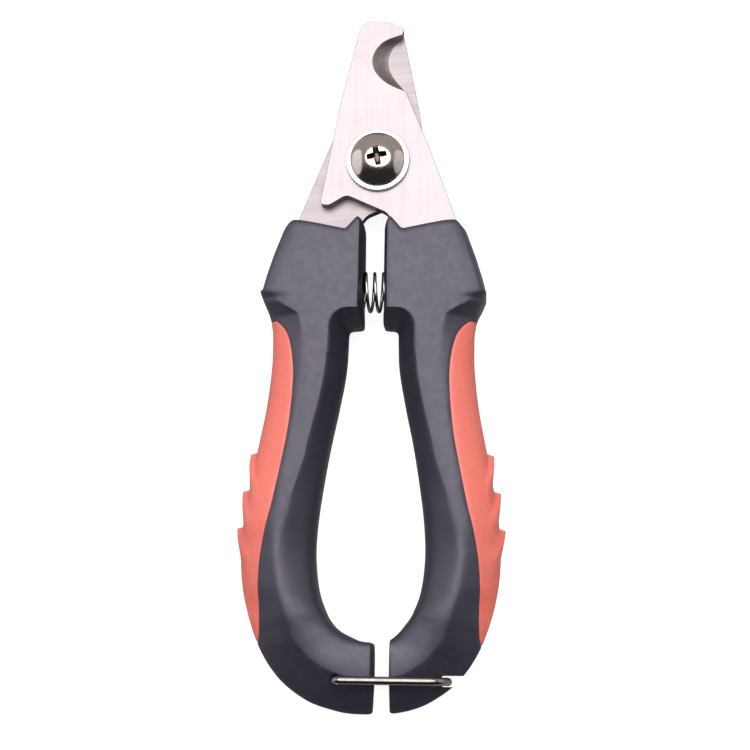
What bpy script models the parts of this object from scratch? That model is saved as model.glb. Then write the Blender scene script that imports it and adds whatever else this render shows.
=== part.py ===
"""Pet nail trimmer: two bypass blades on a screw pivot, cushioned handles, a return spring and a wire lock.

The trimmer lies on its back, shut and locked.  +Z points up, +Y towards the blades and +X to the right.
The origin is under the middle of the whole tool, in the plane of the flat backs of the handles.
Lists of points are in millimetres and are scaled by MM when an object is made.
"""
from math import atan2, ceil, cos, pi, radians, sin, sqrt, tan

import bmesh
import bpy
from mathutils import Matrix, Vector

MM = 0.001
ASSEMBLY = "pet_nail_trimmer"

# Overall layout
MID_Z = 8.5                     # height of the plane where the two blades meet
PIVOT = (0.5, 45.3)
LEAN = radians(0.7)             # the shut blades lean this much to the right
GAP = 0.3                       # between pieces that rest on each other
BLADE_GAP = 0.12                # between the two sliding blades
OVERCUT = 1.0                   # how far a cutter reaches past the piece it cuts

# Blades
BLADE_THICKNESS = 2.8
SLEEVE_RADIUS = 3.0
RUNNING_CLEARANCE = 0.06
# Corners of the front blade from the pivot, each with the radius that rounds it
BLADE_CORNERS = [
    (5.4, 31.9, 0.8), (1.2, 33.75, 7.0), (-4.65, 33.35, 2.6),             # tip
    (-9.0, 13.5, 60.0), (-13.0, -10.5, 1.0), (-10.8, -10.5, 1.5),         # left edge and its hook
    (-7.0, -8.1, 2.0), (2.2, -12.1, 3.0),                                 # lower edge
    (9.0, -20.5, 3.0), (10.6, -25.5, 4.0), (10.8, -40.0, 40.0), (15.0, -68.4, 1.6),  # inner side of the tang
    (19.3, -67.8, 1.6), (16.6, -44.0, 60.0), (16.4, -27.0, 6.0),          # outer side of the tang
    (18.7, -15.0, 2.0), (11.6, 3.6, 60.0), (5.2, 17.2, 0.3), (4.7, 30.4, 0.2),  # right edge, notch's mouth
]
# The claw notch on the cutting face and on the outer face, where its wide bevel ends:
# centre, radius, and the angles between which its wall runs
NOTCH_EDGE = ((9.2, 23.9), 7.8, 118, 242)
NOTCH_RIM = ((4.8, 23.6), 6.9, 86, 280)
NOTCH_STEPS = 20
NOTCH_MOUTH = 24.0              # how far past the blade's edge the notch's cutter reaches
TANG_HOLES = [(14.2, -45.0), (15.9, -58.0)]
TANG_HOLE_RADIUS = 1.3
TANG_HOLE_SIDES = 20

# Pivot hardware
HEAD_RADIUS = 6.2
HEAD_HEIGHT = 3.3
HEAD_RIM = 0.5                  # height of the straight side below the head's dome
DOME_STEPS = 6
SHANK_RADIUS = 1.9
WASHER_RADIUS = 7.25
WASHER_THICKNESS = 0.8
WASHER_BEVEL = 0.25
REAR_WASHER_RADIUS = 5.6
NUT_ACROSS_FLATS = 7.0
NUT_HEIGHT = 2.2
NUT_COLLAR_HEIGHT = 1.0
NUT_COLLAR_RADIUS = 3.1
SHANK_END = 0.2                 # how far the shank stands out of the nut
CROSS_WIDTH = 5.0
CROSS_THICKNESS = 1.1
CROSS_DEPTH = 2.0

# Handles: each rib is (outer point, inner point, half thickness), x measured outwards from the centre plane
TOP_RIBS = [
    ((19.9, 31.1), (2.7, 31.3), 7.2),
    ((20.9, 29.2), (2.2, 29.6), 7.6),
    ((23.1, 22.8), (2.2, 22.8), 8.2),
    ((24.6, 18.0), (2.2, 18.0), 8.4),
    ((25.5, 14.8), (2.3, 14.8), 8.5),
    ((24.7, 12.6), (2.3, 11.9), 8.5),
    ((23.7, 10.3), (2.3, 10.2), 8.5),
    ((23.2, 9.0), (2.2, 8.6), 8.5),
    ((22.9, 6.8), (2.4, 7.0), 8.5),
    ((22.8, 5.8), (4.9, 6.3), 8.5),
    ((22.7, 4.6), (5.6, 4.8), 8.5),
]
GRIP_RIBS = [
    ((22.8, -2.8), (5.9, -2.8), 8.5),
    ((23.8, -11.9), (7.5, -11.9), 8.5),
    ((25.5, -21.0), (9.4, -21.0), 8.5),
    ((27.2, -30.2), (11.0, -31.0), 8.5),
    ((28.4, -38.2), (11.9, -39.0), 8.5),
    ((28.7, -45.4), (12.05, -45.4), 8.5),
    ((28.1, -52.0), (11.3, -52.0), 8.5),
    ((26.5, -58.8), (9.6, -57.1), 8.1),
    ((23.6, -66.0), (7.9, -59.7), 7.1),
]
LEFT_FOOT_RIBS = [
    ((19.3, -71.9), (6.6, -60.9), 6.5),
    ((13.5, -76.1), (5.4, -61.6), 6.3),
    ((8.1, -78.0), (3.7, -62.4), 6.3),
    ((3.9, -78.8), (1.7, -63.2), 6.3),
    ((-0.95, -78.9), (-0.95, -63.5), 6.3),
]
RIGHT_FOOT_RIBS = [
    ((19.3, -71.9), (6.8, -61.1), 6.5),
    ((13.9, -75.9), (5.9, -62.0), 6.3),
    ((9.5, -77.8), (5.2, -62.6), 6.3),
    ((4.7, -78.8), (4.7, -63.0), 6.3),
]
# Width and height of the round on the side that faces the other handle, at places (y) along it
INNER_ROUND = [
    (31.3, 0.9, 0.9), (11.8, 0.9, 0.9), (10.2, 5.6, 6.4), (4.8, 4.6, 6.6),
    (-55.0, 4.6, 6.6), (-63.5, 2.0, 2.4),
]
# The same on the palm side, with the angle at which the round meets the front: under 90 it leaves a crease
OUTER_ROUND = [
    (31.1, 1.4, 1.6, 90), (16.6, 1.4, 1.8, 90), (12.0, 4.6, 5.2, 90), (7.0, 7.0, 8.0, 82),
    (-46.0, 7.4, 8.2, 74),
    (-56.0, 8.4, 7.8, 62), (-66.0, 8.6, 6.8, 58), (-79.0, 8.4, 6.0, 58),
]
ROUND_STEPS = 3
SMALLEST_ROUND = 0.6
WIDEST_ROUND = 0.48             # of the rib's width
SIDE_WALL = 0.1                 # half height of the side between the front's and the back's round
END_CHAMFER = 0.55
SHELL = 2.0                     # thickness of the grey cover and of the grip pad over the core
COVER_STEPS = 2                 # ribs for each one in the lists above
CORE_STEPS = 1
CORE_TOP_RIB = 2
CORE_END_RIB = 19

# The dip in the top of each handle that the other blade's hook swings towards
TOP_DIP = [(18.2, 31.2), (17.4, 30.5), (6.7, 28.2), (3.7, 31.6), (9.0, 36.0)]

# Grip pad: where its edge lies on the handle, from top to bottom
PAD_EDGE = [
    (24.4, 7.6), (22.0, 7.6), (19.6, 5.3), (18.3, 2.2), (17.5, -2.4), (17.4, -8.0), (18.2, -17.0),
    (19.7, -25.4), (21.4, -33.5), (22.9, -39.6), (23.9, -45.5), (24.3, -51.4), (24.1, -56.5), (24.3, -62.8),
    (25.6, -65.0),
]
PAD_REACH = 36.0
PAD_STEPS = 8
PAD_SPAN = (-72.0, 14.0)        # the ribs (y) that the pad is made from
TEETH_SPAN = (-44.5, -20.0)     # the close ribs among them
TEETH = [(-22.3, 1.5), (-30.7, 1.5), (-38.9, 1.35)]  # place and height of each finger tooth
TOOTH_RUN = 5.2                 # length over which a tooth fades downwards
TOOTH_RISE = 1.1                # length of its steep upper side
TOOTH_SWEEP = 8.0               # how far the tooth drops on its way round to the faces
TOOTH_SPREAD = radians(42)      # how far round the palm side it reaches
TOOTH_BEND = 1.5                # powers that shape its way round and its fading
TOOTH_FADE = 1.4

# Spring
SPRING_Y = 15.1
SPRING_RADIUS = 4.35            # to the middle of the wire
SPRING_WIRE = 0.375
SPRING_PITCH = 2.05
SPRING_STEPS = 12               # to each turn
CLOSED_TURN_GAP = 0.06
POCKET_RADIUS = 5.1
POCKET_DEPTH = 9.4              # from the centre plane
PEG_RADIUS = 3.1
PEG_TIP = 5.6
PEG_ROOT = 0.5                  # how far the peg reaches into the pocket's floor

# Lock wire
LOCK_AXIS = (-7.0, -71.65)
LOCK_WIRE_RADIUS = 0.9
LOCK_REACH = 24.2
LOCK_LEG_Z = 7.45               # the legs lie this far from the middle plane
LOCK_PIN_TIP = 1.6
LOCK_PIN_BEND = 1.5
LOCK_END_BEND = 4.0
LOCK_HOLE_CLEARANCE = 0.09
LOCK_SINK_DEPTH = 0.6
LOCK_SINK_FLARE = 1.2           # how much wider the sink's cone is at its outer end
LOCK_PIN_STEPS = 5
LOCK_END_STEPS = 7
NOTCH_TOP = -70.35              # the slot in the right foot that holds the wire's closed end
NOTCH_BOTTOM = -72.75
NOTCH_FLOOR = 15.7
NOTCH_END = 30.0

# Fineness
TURN_STEPS = 40
ROD_SIDES = 32
HOLE_SIDES = 48
WIRE_RESOLUTION = 2
LOCK_WIRE_RESOLUTION = 3
CORNER_STEP = radians(22)
MITRE_LIMIT = 0.5
MERGE_DISTANCE = 0.000001       # metres
SHARP_ANGLE = radians(35)

COLOURS = {
    "steel": ((0.80, 0.78, 0.77), 0.28, 1.0),
    "nickel": ((0.62, 0.60, 0.58), 0.14, 1.0),
    "zinc": ((0.55, 0.55, 0.55), 0.35, 1.0),
    "grey_cover": ((0.100, 0.104, 0.125), 0.62, 0.0),
    "coral_grip": ((0.86, 0.20, 0.15), 0.55, 0.0),
    "black_core": ((0.03, 0.03, 0.035), 0.5, 0.0),
}


# ---------------------------------------------------------------- scene and objects

def clear_scene():
    for obj in list(bpy.data.objects):
        bpy.data.objects.remove(obj, do_unlink=True)


def new_collection(name):
    collection = bpy.data.collections.new(name)
    bpy.context.scene.collection.children.link(collection)
    return collection


def material(name, colour, roughness, metallic):
    made = bpy.data.materials.new(name)
    made.use_nodes = True
    shader = made.node_tree.nodes["Principled BSDF"]
    shader.inputs["Base Color"].default_value = (*colour, 1.0)
    shader.inputs["Roughness"].default_value = roughness
    shader.inputs["Metallic"].default_value = metallic
    return made


def add_object(name, mesh, look=None):
    """Puts a mesh in the assembly with its material, or among the cutters when it has none."""
    obj = bpy.data.objects.new(name, mesh)
    if look:
        colour, roughness, metallic = COLOURS[look]
        mesh.materials.append(material(name, colour, roughness, metallic))
        bpy.data.collections[ASSEMBLY].objects.link(obj)
    else:
        obj.hide_render = True
        obj.display_type = "WIRE"
        bpy.data.collections["cutters"].objects.link(obj)
    return obj


def mesh_from_bmesh(name, bm):
    bmesh.ops.recalc_face_normals(bm, faces=bm.faces)
    mesh = bpy.data.meshes.new(name)
    bm.to_mesh(mesh)
    bm.free()
    return mesh


def smooth(obj):
    obj.data.shade_smooth()
    obj.data.set_sharp_from_angle(angle=SHARP_ANGLE)


def combine(obj, other, operation):
    modifier = obj.modifiers.new(operation.lower(), "BOOLEAN")
    modifier.operation = operation
    modifier.solver = "EXACT"
    modifier.object = other


def cut(obj, *cutters):
    for cutter in cutters:
        combine(obj, cutter, "DIFFERENCE")


def put_origin(obj, point):
    """Moves an object's origin to a point in millimetres and leaves its shape where it is."""
    target = Vector(point) * MM
    obj.data.transform(Matrix.Translation(-target))
    obj.location = target


def hang_on(empty, *objects):
    for obj in objects:
        obj.parent = empty
        obj.location = obj.location - empty.location


# ---------------------------------------------------------------- outlines

def arc(centre, radius, start, end, steps):
    """Points along an arc; the angles are in radians."""
    turn = [start + (end - start) * i / steps for i in range(steps + 1)]
    return [(centre[0] + radius * cos(a), centre[1] + radius * sin(a)) for a in turn]


def rounded(corners):
    """Closed outline through corners (x, y, radius), with each corner rounded by an arc."""
    points = []
    for i, (x, y, radius) in enumerate(corners):
        here = Vector((x, y))
        to_last = (Vector(corners[i - 1][:2]) - here).normalized()
        to_next = (Vector(corners[(i + 1) % len(corners)][:2]) - here).normalized()
        half = to_last.angle(to_next) / 2
        reach = radius / tan(half)
        centre = here + (to_last + to_next).normalized() * radius / sin(half)
        first = here + to_last * reach - centre
        last = here + to_next * reach - centre
        start = atan2(first.y, first.x)
        sweep = (atan2(last.y, last.x) - start + pi) % (2 * pi) - pi
        steps = max(1, ceil(abs(sweep) / CORNER_STEP))
        points += arc(centre, radius, start, start + sweep, steps)
    return points


def grown(points, distance):
    """The same closed outline pushed outwards; the points run anticlockwise."""
    area = sum(a[0] * b[1] - a[1] * b[0] for a, b in zip(points, points[1:] + points[:1]))
    out = []
    for i, point in enumerate(points):
        here = Vector(point)
        along_in = (here - Vector(points[i - 1])).normalized()
        along_out = (Vector(points[(i + 1) % len(points)]) - here).normalized()
        normal = Vector((along_in.y + along_out.y, -along_in.x - along_out.x)).normalized()
        stretch = max(MITRE_LIMIT, normal.dot(Vector((along_in.y, -along_in.x))))
        side = 1 if area > 0 else -1
        out.append(tuple(here + normal * side * distance / stretch))
    return out


def place_on_blade(points, side):
    """From the blade's own frame to the tool's: side 1 is the front blade, -1 the rear one."""
    c, s = cos(LEAN), sin(LEAN)
    placed = [(PIVOT[0] + side * x * c + y * s, PIVOT[1] + y * c - side * x * s) for x, y in points]
    return placed if side > 0 else placed[::-1]


def mirrored(points, side):
    placed = [(side * x, y) for x, y in points]
    return placed if side > 0 else placed[::-1]


# ---------------------------------------------------------------- basic shapes

def plate(name, points, low, high, look=None):
    """A flat piece of the given outline, from one height to another."""
    curve = bpy.data.curves.new(name, "CURVE")
    curve.dimensions = "2D"
    curve.fill_mode = "BOTH"
    curve.extrude = (high - low) / 2 * MM
    spline = curve.splines.new("POLY")
    spline.points.add(len(points) - 1)
    for slot, (x, y) in zip(spline.points, points):
        slot.co = (x * MM, y * MM, 0, 1)
    spline.use_cyclic_u = True
    return mesh_of_curve(name, curve, Vector((0, 0, (low + high) / 2 * MM)), look)


def rod(name, points, radius, look, resolution=WIRE_RESOLUTION):
    """A round wire along the given points."""
    curve = bpy.data.curves.new(name, "CURVE")
    curve.dimensions = "3D"
    curve.bevel_depth = radius * MM
    curve.bevel_resolution = resolution
    curve.use_fill_caps = True
    spline = curve.splines.new("POLY")
    spline.points.add(len(points) - 1)
    for slot, point in zip(spline.points, points):
        slot.co = (*(Vector(point) * MM), 1)
    return mesh_of_curve(name, curve, Vector(), look)


def mesh_of_curve(name, curve, offset, look):
    """Makes a curve a closed mesh, with its caps welded on, and removes the curve."""
    holder = bpy.data.objects.new(name + "_curve", curve)
    bpy.context.scene.collection.objects.link(holder)
    bpy.context.view_layer.update()
    evaluated = holder.evaluated_get(bpy.context.evaluated_depsgraph_get())
    bm = bmesh.new()
    raw = bpy.data.meshes.new_from_object(evaluated)
    bm.from_mesh(raw)
    bpy.data.meshes.remove(raw)
    bpy.data.objects.remove(holder, do_unlink=True)
    bmesh.ops.remove_doubles(bm, verts=bm.verts, dist=MERGE_DISTANCE)
    bmesh.ops.translate(bm, verts=bm.verts, vec=offset)
    mesh = mesh_from_bmesh(name, bm)
    mesh.materials.clear()
    return add_object(name, mesh, look)


def cylinder(name, radius, low, high, centre, look=None, sides=HOLE_SIDES, end_radius=None):
    """A cylinder or cone standing on its centre (x, y) between two heights."""
    bm = bmesh.new()
    matrix = Matrix.Translation(Vector((centre[0], centre[1], (low + high) / 2)) * MM)
    bmesh.ops.create_cone(
        bm, cap_ends=True, segments=sides, radius1=radius * MM,
        radius2=(radius if end_radius is None else end_radius) * MM, depth=(high - low) * MM, matrix=matrix,
    )
    return add_object(name, mesh_from_bmesh(name, bm), look)


def cross_rod(name, radius, start, end, y, z, look=None):
    """A cylinder that lies along X."""
    bm = bmesh.new()
    matrix = Matrix.Translation(Vector(((start + end) / 2, y, z)) * MM) @ Matrix.Rotation(pi / 2, 4, "Y")
    bmesh.ops.create_cone(
        bm, cap_ends=True, segments=ROD_SIDES, radius1=radius * MM, radius2=radius * MM,
        depth=abs(end - start) * MM, matrix=matrix,
    )
    return add_object(name, mesh_from_bmesh(name, bm), look)


def block(name, low, high):
    bm = bmesh.new()
    size = [(b - a) * MM for a, b in zip(low, high)]
    middle = Vector([(a + b) / 2 * MM for a, b in zip(low, high)])
    bmesh.ops.create_cube(bm, size=1, matrix=Matrix.Translation(middle) @ Matrix.Diagonal((*size, 1)))
    return add_object(name, mesh_from_bmesh(name, bm))


def turned(name, profile, centre, look, closed=True):
    """A ring or knob turned about the Z axis at the centre; profile is (radius, height) from the top down."""
    mesh = bpy.data.meshes.new(name)
    bm = bmesh.new()
    points = [bm.verts.new(Vector((r, 0, z)) * MM) for r, z in profile]
    for a, b in zip(points, points[1:] + points[:1] if closed else points[1:]):
        bm.edges.new((a, b))
    bm.to_mesh(mesh)
    bm.free()
    obj = add_object(name, mesh, look)
    obj.location = Vector((*centre, 0)) * MM
    screw = obj.modifiers.new("turn", "SCREW")
    screw.axis = "Z"
    screw.steps = TURN_STEPS
    screw.render_steps = TURN_STEPS
    screw.use_merge_vertices = True
    screw.merge_threshold = MERGE_DISTANCE
    return obj


def loft(name, rings, look=None):
    """Skins a list of closed rings of equal length and caps both ends."""
    bm = bmesh.new()
    rows = [[bm.verts.new(Vector(point) * MM) for point in ring] for ring in rings]
    for row, other in zip(rows, rows[1:]):
        for i in range(len(row)):
            j = (i + 1) % len(row)
            bm.faces.new((row[i], row[j], other[j], other[i]))
    bm.faces.new(rows[0])
    bm.faces.new(rows[-1])
    bmesh.ops.triangulate(bm, faces=[f for f in bm.faces if len(f.verts) == 4])
    return add_object(name, mesh_from_bmesh(name, bm), look)


# ---------------------------------------------------------------- blades

def notch_cutter(name, side, cutting_face, outer_face):
    """The space of the claw notch, from just below the cutting face to just above the outer face."""
    rings = []
    for shape, height in ((NOTCH_EDGE, cutting_face), (NOTCH_RIM, outer_face)):
        centre, radius, start, end = shape
        wall = arc(centre, radius, radians(start), radians(end), NOTCH_STEPS)
        mouth = [(NOTCH_MOUTH, wall[-1][1]), (NOTCH_MOUTH, wall[0][1])]
        ring = place_on_blade(wall + mouth, side)
        rings.append([(x, y, height) for x, y in ring])
    return loft(name, rings)


def blade(name, side):
    """A blade with its tang; side 1 is the front blade and -1 the rear one, its mirror image."""
    cutting_face = MID_Z + side * BLADE_GAP / 2
    outer_face = cutting_face + side * BLADE_THICKNESS
    outline = place_on_blade(rounded(BLADE_CORNERS), side)
    low, high = sorted((cutting_face, outer_face))
    made = plate(name, outline, low, high, "steel")
    hole_radius = SLEEVE_RADIUS + RUNNING_CLEARANCE
    cutters = [
        cylinder(name + "_pivot_hole", hole_radius, low - OVERCUT, high + OVERCUT, PIVOT),
        notch_cutter(name + "_notch", side, cutting_face, outer_face),
    ]
    for number, centre in enumerate(place_on_blade(TANG_HOLES, side)):
        label = f"{name}_tang_hole_{number}"
        cutters.append(cylinder(
            label, TANG_HOLE_RADIUS, low - OVERCUT, high + OVERCUT, centre, sides=TANG_HOLE_SIDES,
        ))
    cut(made, *cutters)
    return made


def blade_slot(name, side):
    """The space that a blade needs in its handle, with the resting gap all round."""
    cutting_face = MID_Z + side * BLADE_GAP / 2
    low, high = sorted((cutting_face - side * GAP, cutting_face + side * (BLADE_THICKNESS + GAP)))
    return plate(name, grown(place_on_blade(rounded(BLADE_CORNERS), side), GAP), low, high)


# ---------------------------------------------------------------- pivot hardware

def screw_piece(head_low, shank_low):
    """The pivot screw: a domed head with a cross recess, on a plain shank."""
    dome_height = HEAD_HEIGHT - HEAD_RIM
    dome_radius = (HEAD_RADIUS ** 2 + dome_height ** 2) / (2 * dome_height)
    dome_centre = head_low + HEAD_HEIGHT - dome_radius
    radii = [HEAD_RADIUS * sin(pi / 2 * k / DOME_STEPS) for k in range(DOME_STEPS + 1)]
    dome = [(r, dome_centre + sqrt(dome_radius ** 2 - r ** 2)) for r in radii]
    shank = [(HEAD_RADIUS, head_low), (SHANK_RADIUS, head_low), (SHANK_RADIUS, shank_low), (0.0, shank_low)]
    screw = turned("pivot_screw", dome + shank, PIVOT, "nickel", closed=False)
    top = head_low + HEAD_HEIGHT
    for number, (wide, deep) in enumerate(((CROSS_WIDTH, CROSS_THICKNESS), (CROSS_THICKNESS, CROSS_WIDTH))):
        low = (PIVOT[0] - wide / 2, PIVOT[1] - deep / 2, top - CROSS_DEPTH)
        high = (PIVOT[0] + wide / 2, PIVOT[1] + deep / 2, top + OVERCUT)
        cut(screw, block(f"cross_{number}", low, high))
    return screw


def washer(name, outer, inner, low, look):
    high = low + WASHER_THICKNESS
    bevel = [(outer - WASHER_BEVEL, high), (outer, high - WASHER_BEVEL)]
    return turned(name, bevel + [(outer, low), (inner, low), (inner, high)], PIVOT, look)


def lock_nut(low, high, bore):
    """A hexagon nut with a round collar on its lower side."""
    nut = cylinder("lock_nut", NUT_ACROSS_FLATS / sqrt(3), high - NUT_HEIGHT, high, PIVOT, "zinc", sides=6)
    middle = high - NUT_HEIGHT / 2
    combine(nut, cylinder("nut_collar", NUT_COLLAR_RADIUS, low, middle, PIVOT, sides=ROD_SIDES), "UNION")
    cut(nut, cylinder("nut_bore", bore, low - OVERCUT, high + OVERCUT, PIVOT, sides=ROD_SIDES))
    put_origin(nut, (*PIVOT, high))
    return nut


def pivot_hardware():
    """Screw, washers, bearing sleeve and lock nut; returns them as a list."""
    blade_top = MID_Z + BLADE_GAP / 2 + BLADE_THICKNESS
    blade_bottom = 2 * MID_Z - blade_top
    washer_low = blade_top + GAP
    rear_washer_low = blade_bottom - GAP - WASHER_THICKNESS
    nut_high = rear_washer_low - GAP
    nut_low = nut_high - NUT_HEIGHT - NUT_COLLAR_HEIGHT
    bore = SHANK_RADIUS + GAP
    outer_side = [(SLEEVE_RADIUS, blade_top), (SLEEVE_RADIUS, blade_bottom)]
    inner_side = [(bore, blade_bottom), (bore, blade_top)]
    return [
        screw_piece(washer_low + WASHER_THICKNESS + GAP, nut_low - SHANK_END),
        washer("front_washer", WASHER_RADIUS, bore, washer_low, "nickel"),
        turned("pivot_sleeve", outer_side + inner_side, PIVOT, "zinc"),
        washer("rear_washer", REAR_WASHER_RADIUS, bore, rear_washer_low, "zinc"),
        lock_nut(nut_low, nut_high, bore),
    ]


# ---------------------------------------------------------------- handles

def spline_ribs(ribs, steps):
    """Ribs on a Catmull-Rom curve through the given ones, with steps from each to the next."""
    flat = [Vector((*outer, *inner, half)) for outer, inner, half in ribs]
    line = [flat[0] * 2 - flat[1], *flat, flat[-1] * 2 - flat[-2]]
    out = []
    for p0, p1, p2, p3 in zip(line, line[1:], line[2:], line[3:]):
        for i in range(steps):
            t = i / steps
            out.append(0.5 * (
                2 * p1 + (p2 - p0) * t + (2 * p0 - 5 * p1 + 4 * p2 - p3) * t ** 2
                + (3 * p1 - p0 - 3 * p2 + p3) * t ** 3
            ))
    out.append(flat[-1])
    return [((v[0], v[1]), (v[2], v[3]), min(v[4], MID_Z)) for v in out]


def handle_ribs(side, steps):
    foot = LEFT_FOOT_RIBS if side < 0 else RIGHT_FOOT_RIBS
    return TOP_RIBS[:-1] + spline_ribs([TOP_RIBS[-1]] + GRIP_RIBS + foot, steps)


def inset(rib, distance):
    """A rib moved inwards on all sides."""
    outer, inner, half = Vector(rib[0]), Vector(rib[1]), rib[2]
    across = (outer - inner).normalized() * distance
    return tuple(outer - across), tuple(inner + across), half - distance


def between(rib, other, distance):
    """A rib moved towards another one by a distance measured at its middle."""
    middle = (Vector(rib[0]) + Vector(rib[1])) / 2
    share = distance / ((Vector(other[0]) + Vector(other[1])) / 2 - middle).length
    blend = [tuple(Vector(a).lerp(Vector(b), share)) for a, b in zip(rib[:2], other[:2])]
    return (*blend, rib[2] + (other[2] - rib[2]) * share)


def tooth_height(y, angle):
    """How far the finger teeth stand out of the palm side at a place along it and round it."""
    drop = min(1.0, (angle / TOOTH_SPREAD) ** TOOTH_BEND)
    total = 0.0
    for place, height in TEETH:
        below = place - (y + TOOTH_SWEEP * drop)
        if 0 <= below < TOOTH_RUN:
            total += height * (1 - below / TOOTH_RUN) ** TOOTH_FADE
        elif -TOOTH_RISE < below < 0:
            total += height * (1 + below / TOOTH_RISE)
    return total * (1 - drop)


def along(table, y):
    """Reads a table of rows (y, value, value...) at a place between its rows; y falls down the table."""
    if y >= table[0][0]:
        return table[0][1:]
    for row, other in zip(table, table[1:]):
        if y >= other[0]:
            share = (row[0] - y) / (row[0] - other[0])
            return tuple(a + (b - a) * share for a, b in zip(row[1:], other[1:]))
    return table[-1][1:]


def corner(width, height, crease):
    """A quarter round from the side, at angle 0, to the flat face, as (reach, rise) and its angles."""
    top = radians(crease)
    points = []
    for step in range(ROUND_STEPS + 1):
        angle = top * step / ROUND_STEPS
        reach = width * (cos(angle) - cos(top)) / (1 - cos(top))
        points.append((reach, height * sin(angle) / sin(top), angle))
    return points


def fitted(wide, high, depth, width, half):
    """A round's width and height at a depth below the surface, kept within the rib."""
    wide = min(max(wide - depth, SMALLEST_ROUND), width * WIDEST_ROUND)
    return wide, min(max(high - depth, SMALLEST_ROUND), half - SIDE_WALL)


def section(rib, side, depth=0.0, teeth=False):
    """Closed ring round a rib: a flat front and back with a round at each corner."""
    outer, inner, half = Vector(rib[0]), Vector(rib[1]), rib[2]
    across = (outer - inner).normalized()
    width = (outer - inner).length

    outer_wide, outer_high, crease = along(OUTER_ROUND, outer.y)
    outer_wide, outer_high = fitted(outer_wide, outer_high, depth, width, half)
    inner_wide, inner_high = fitted(*along(INNER_ROUND, inner.y), depth, width, half)
    palm = [
        (width - outer_wide + reach, half - outer_high + rise, angle)
        for reach, rise, angle in corner(outer_wide, outer_high, crease)
    ]
    near = [
        (inner_wide - reach, half - inner_high + rise)
        for reach, rise, _ in corner(inner_wide, inner_high, 90)
    ]
    if teeth:
        palm = [(reach + tooth_height(outer.y, angle), rise, angle) for reach, rise, angle in palm]
    front = [(reach, rise) for reach, rise, _ in palm] + near[::-1]
    ring = []
    for reach, rise in front + [(reach, -rise) for reach, rise in reversed(front)]:
        point = inner + across * reach
        ring.append((side * point.x, point.y, MID_Z + rise))
    return ring


def body_loft(name, side, ribs, look=None, depth=0.0, chamfer=0.0, teeth=False):
    """Skins a run of ribs inset by the depth; a chamfer narrows the two end faces."""
    set_in = [inset(rib, depth) for rib in ribs] if depth else list(ribs)
    if chamfer:
        first, last = inset(set_in[0], chamfer), inset(set_in[-1], chamfer)
        second = between(set_in[0], set_in[1], chamfer)
        before_last = between(set_in[-1], set_in[-2], chamfer)
        set_in = [first, second, *set_in[1:-1], before_last, last]
    return loft(name, [section(rib, side, depth, teeth) for rib in set_in], look)


def pad_region(name, side, distance):
    """The space on the palm side that the grip pad fills, grown by a distance."""
    edge = PAD_EDGE + [(PAD_REACH, PAD_EDGE[-1][1]), (PAD_REACH, PAD_EDGE[0][1])]
    outline = mirrored(grown(edge, distance), side)
    return plate(name, outline, -OVERCUT, 2 * MID_Z + OVERCUT)


def pad_ribs(side):
    """Ribs of the palm side, set closely where the teeth are."""
    shared = len(TOP_RIBS) - 1
    kept = []
    for n, rib in enumerate(handle_ribs(side, PAD_STEPS)):
        y = rib[0][1]
        wide = n < shared or (n - shared) % PAD_STEPS == 0
        if PAD_SPAN[0] < y < PAD_SPAN[1] and (wide or TEETH_SPAN[0] < y < TEETH_SPAN[1]):
            kept.append(rib)
    return kept


def core_ribs(ribs, depth_in):
    """The run of ribs that the core fills; its ends are drawn in by the given length."""
    run = list(ribs[CORE_TOP_RIB:CORE_END_RIB + 1])
    if depth_in:
        run[0] = between(run[0], run[1], depth_in)
        run[-1] = between(run[-1], run[-2], depth_in)
    return run


def handle(side):
    """One handle: the hard core on the tang, the grey cover and the grip pad; returns them as a list."""
    word = "left" if side < 0 else "right"
    ribs = handle_ribs(side, CORE_STEPS)
    slot = blade_slot(word + "_tang_slot", side)
    cavity = body_loft(word + "_cavity", side, core_ribs(ribs, 0), depth=SHELL)
    pocket = cross_rod(word + "_pocket", POCKET_RADIUS, 0, side * POCKET_DEPTH, SPRING_Y, MID_Z)

    core = body_loft(word + "_handle_core", side, core_ribs(ribs, GAP), "black_core", depth=SHELL + GAP)
    cut(core, slot, pocket)
    root = POCKET_DEPTH + PEG_ROOT
    peg = cross_rod(word + "_peg", PEG_RADIUS, side * PEG_TIP, side * root, SPRING_Y, MID_Z)
    combine(core, peg, "UNION")

    fine = handle_ribs(side, COVER_STEPS)
    cover = body_loft(word + "_handle_cover", side, fine, "grey_cover", chamfer=END_CHAMFER)
    dip = plate(word + "_dip", mirrored(TOP_DIP, side), -OVERCUT, 2 * MID_Z + OVERCUT)
    cut(cover, cavity, slot, pocket, dip, pad_region(word + "_pad_window", side, GAP))
    if side < 0:
        cut(cover, *lock_hole())
    else:
        low = (NOTCH_FLOOR, NOTCH_BOTTOM, -OVERCUT)
        cut(cover, block("lock_notch", low, (NOTCH_END, NOTCH_TOP, 2 * MID_Z + OVERCUT)))

    pad = body_loft(word + "_grip_pad", side, pad_ribs(side), "coral_grip", teeth=True)
    combine(pad, pad_region(word + "_pad_region", side, 0.0), "INTERSECT")
    cut(pad, cavity)
    return [core, cover, pad]


def lock_hole():
    """The hole for the lock wire through the left foot, countersunk on both faces."""
    half = LEFT_FOOT_RIBS[-1][2]
    radius = LOCK_WIRE_RADIUS + LOCK_HOLE_CLEARANCE
    wide = radius + LOCK_SINK_FLARE
    deep = LOCK_SINK_DEPTH
    low, high = MID_Z - half, MID_Z + half
    return [
        cylinder("lock_hole", radius, low - OVERCUT, high + OVERCUT, LOCK_AXIS, sides=ROD_SIDES),
        cylinder("sink_front", radius, high - deep, high + deep, LOCK_AXIS, sides=ROD_SIDES, end_radius=wide),
        cylinder("sink_back", wide, low - deep, low + deep, LOCK_AXIS, sides=ROD_SIDES, end_radius=radius),
    ]


# ---------------------------------------------------------------- spring and lock wire

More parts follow.
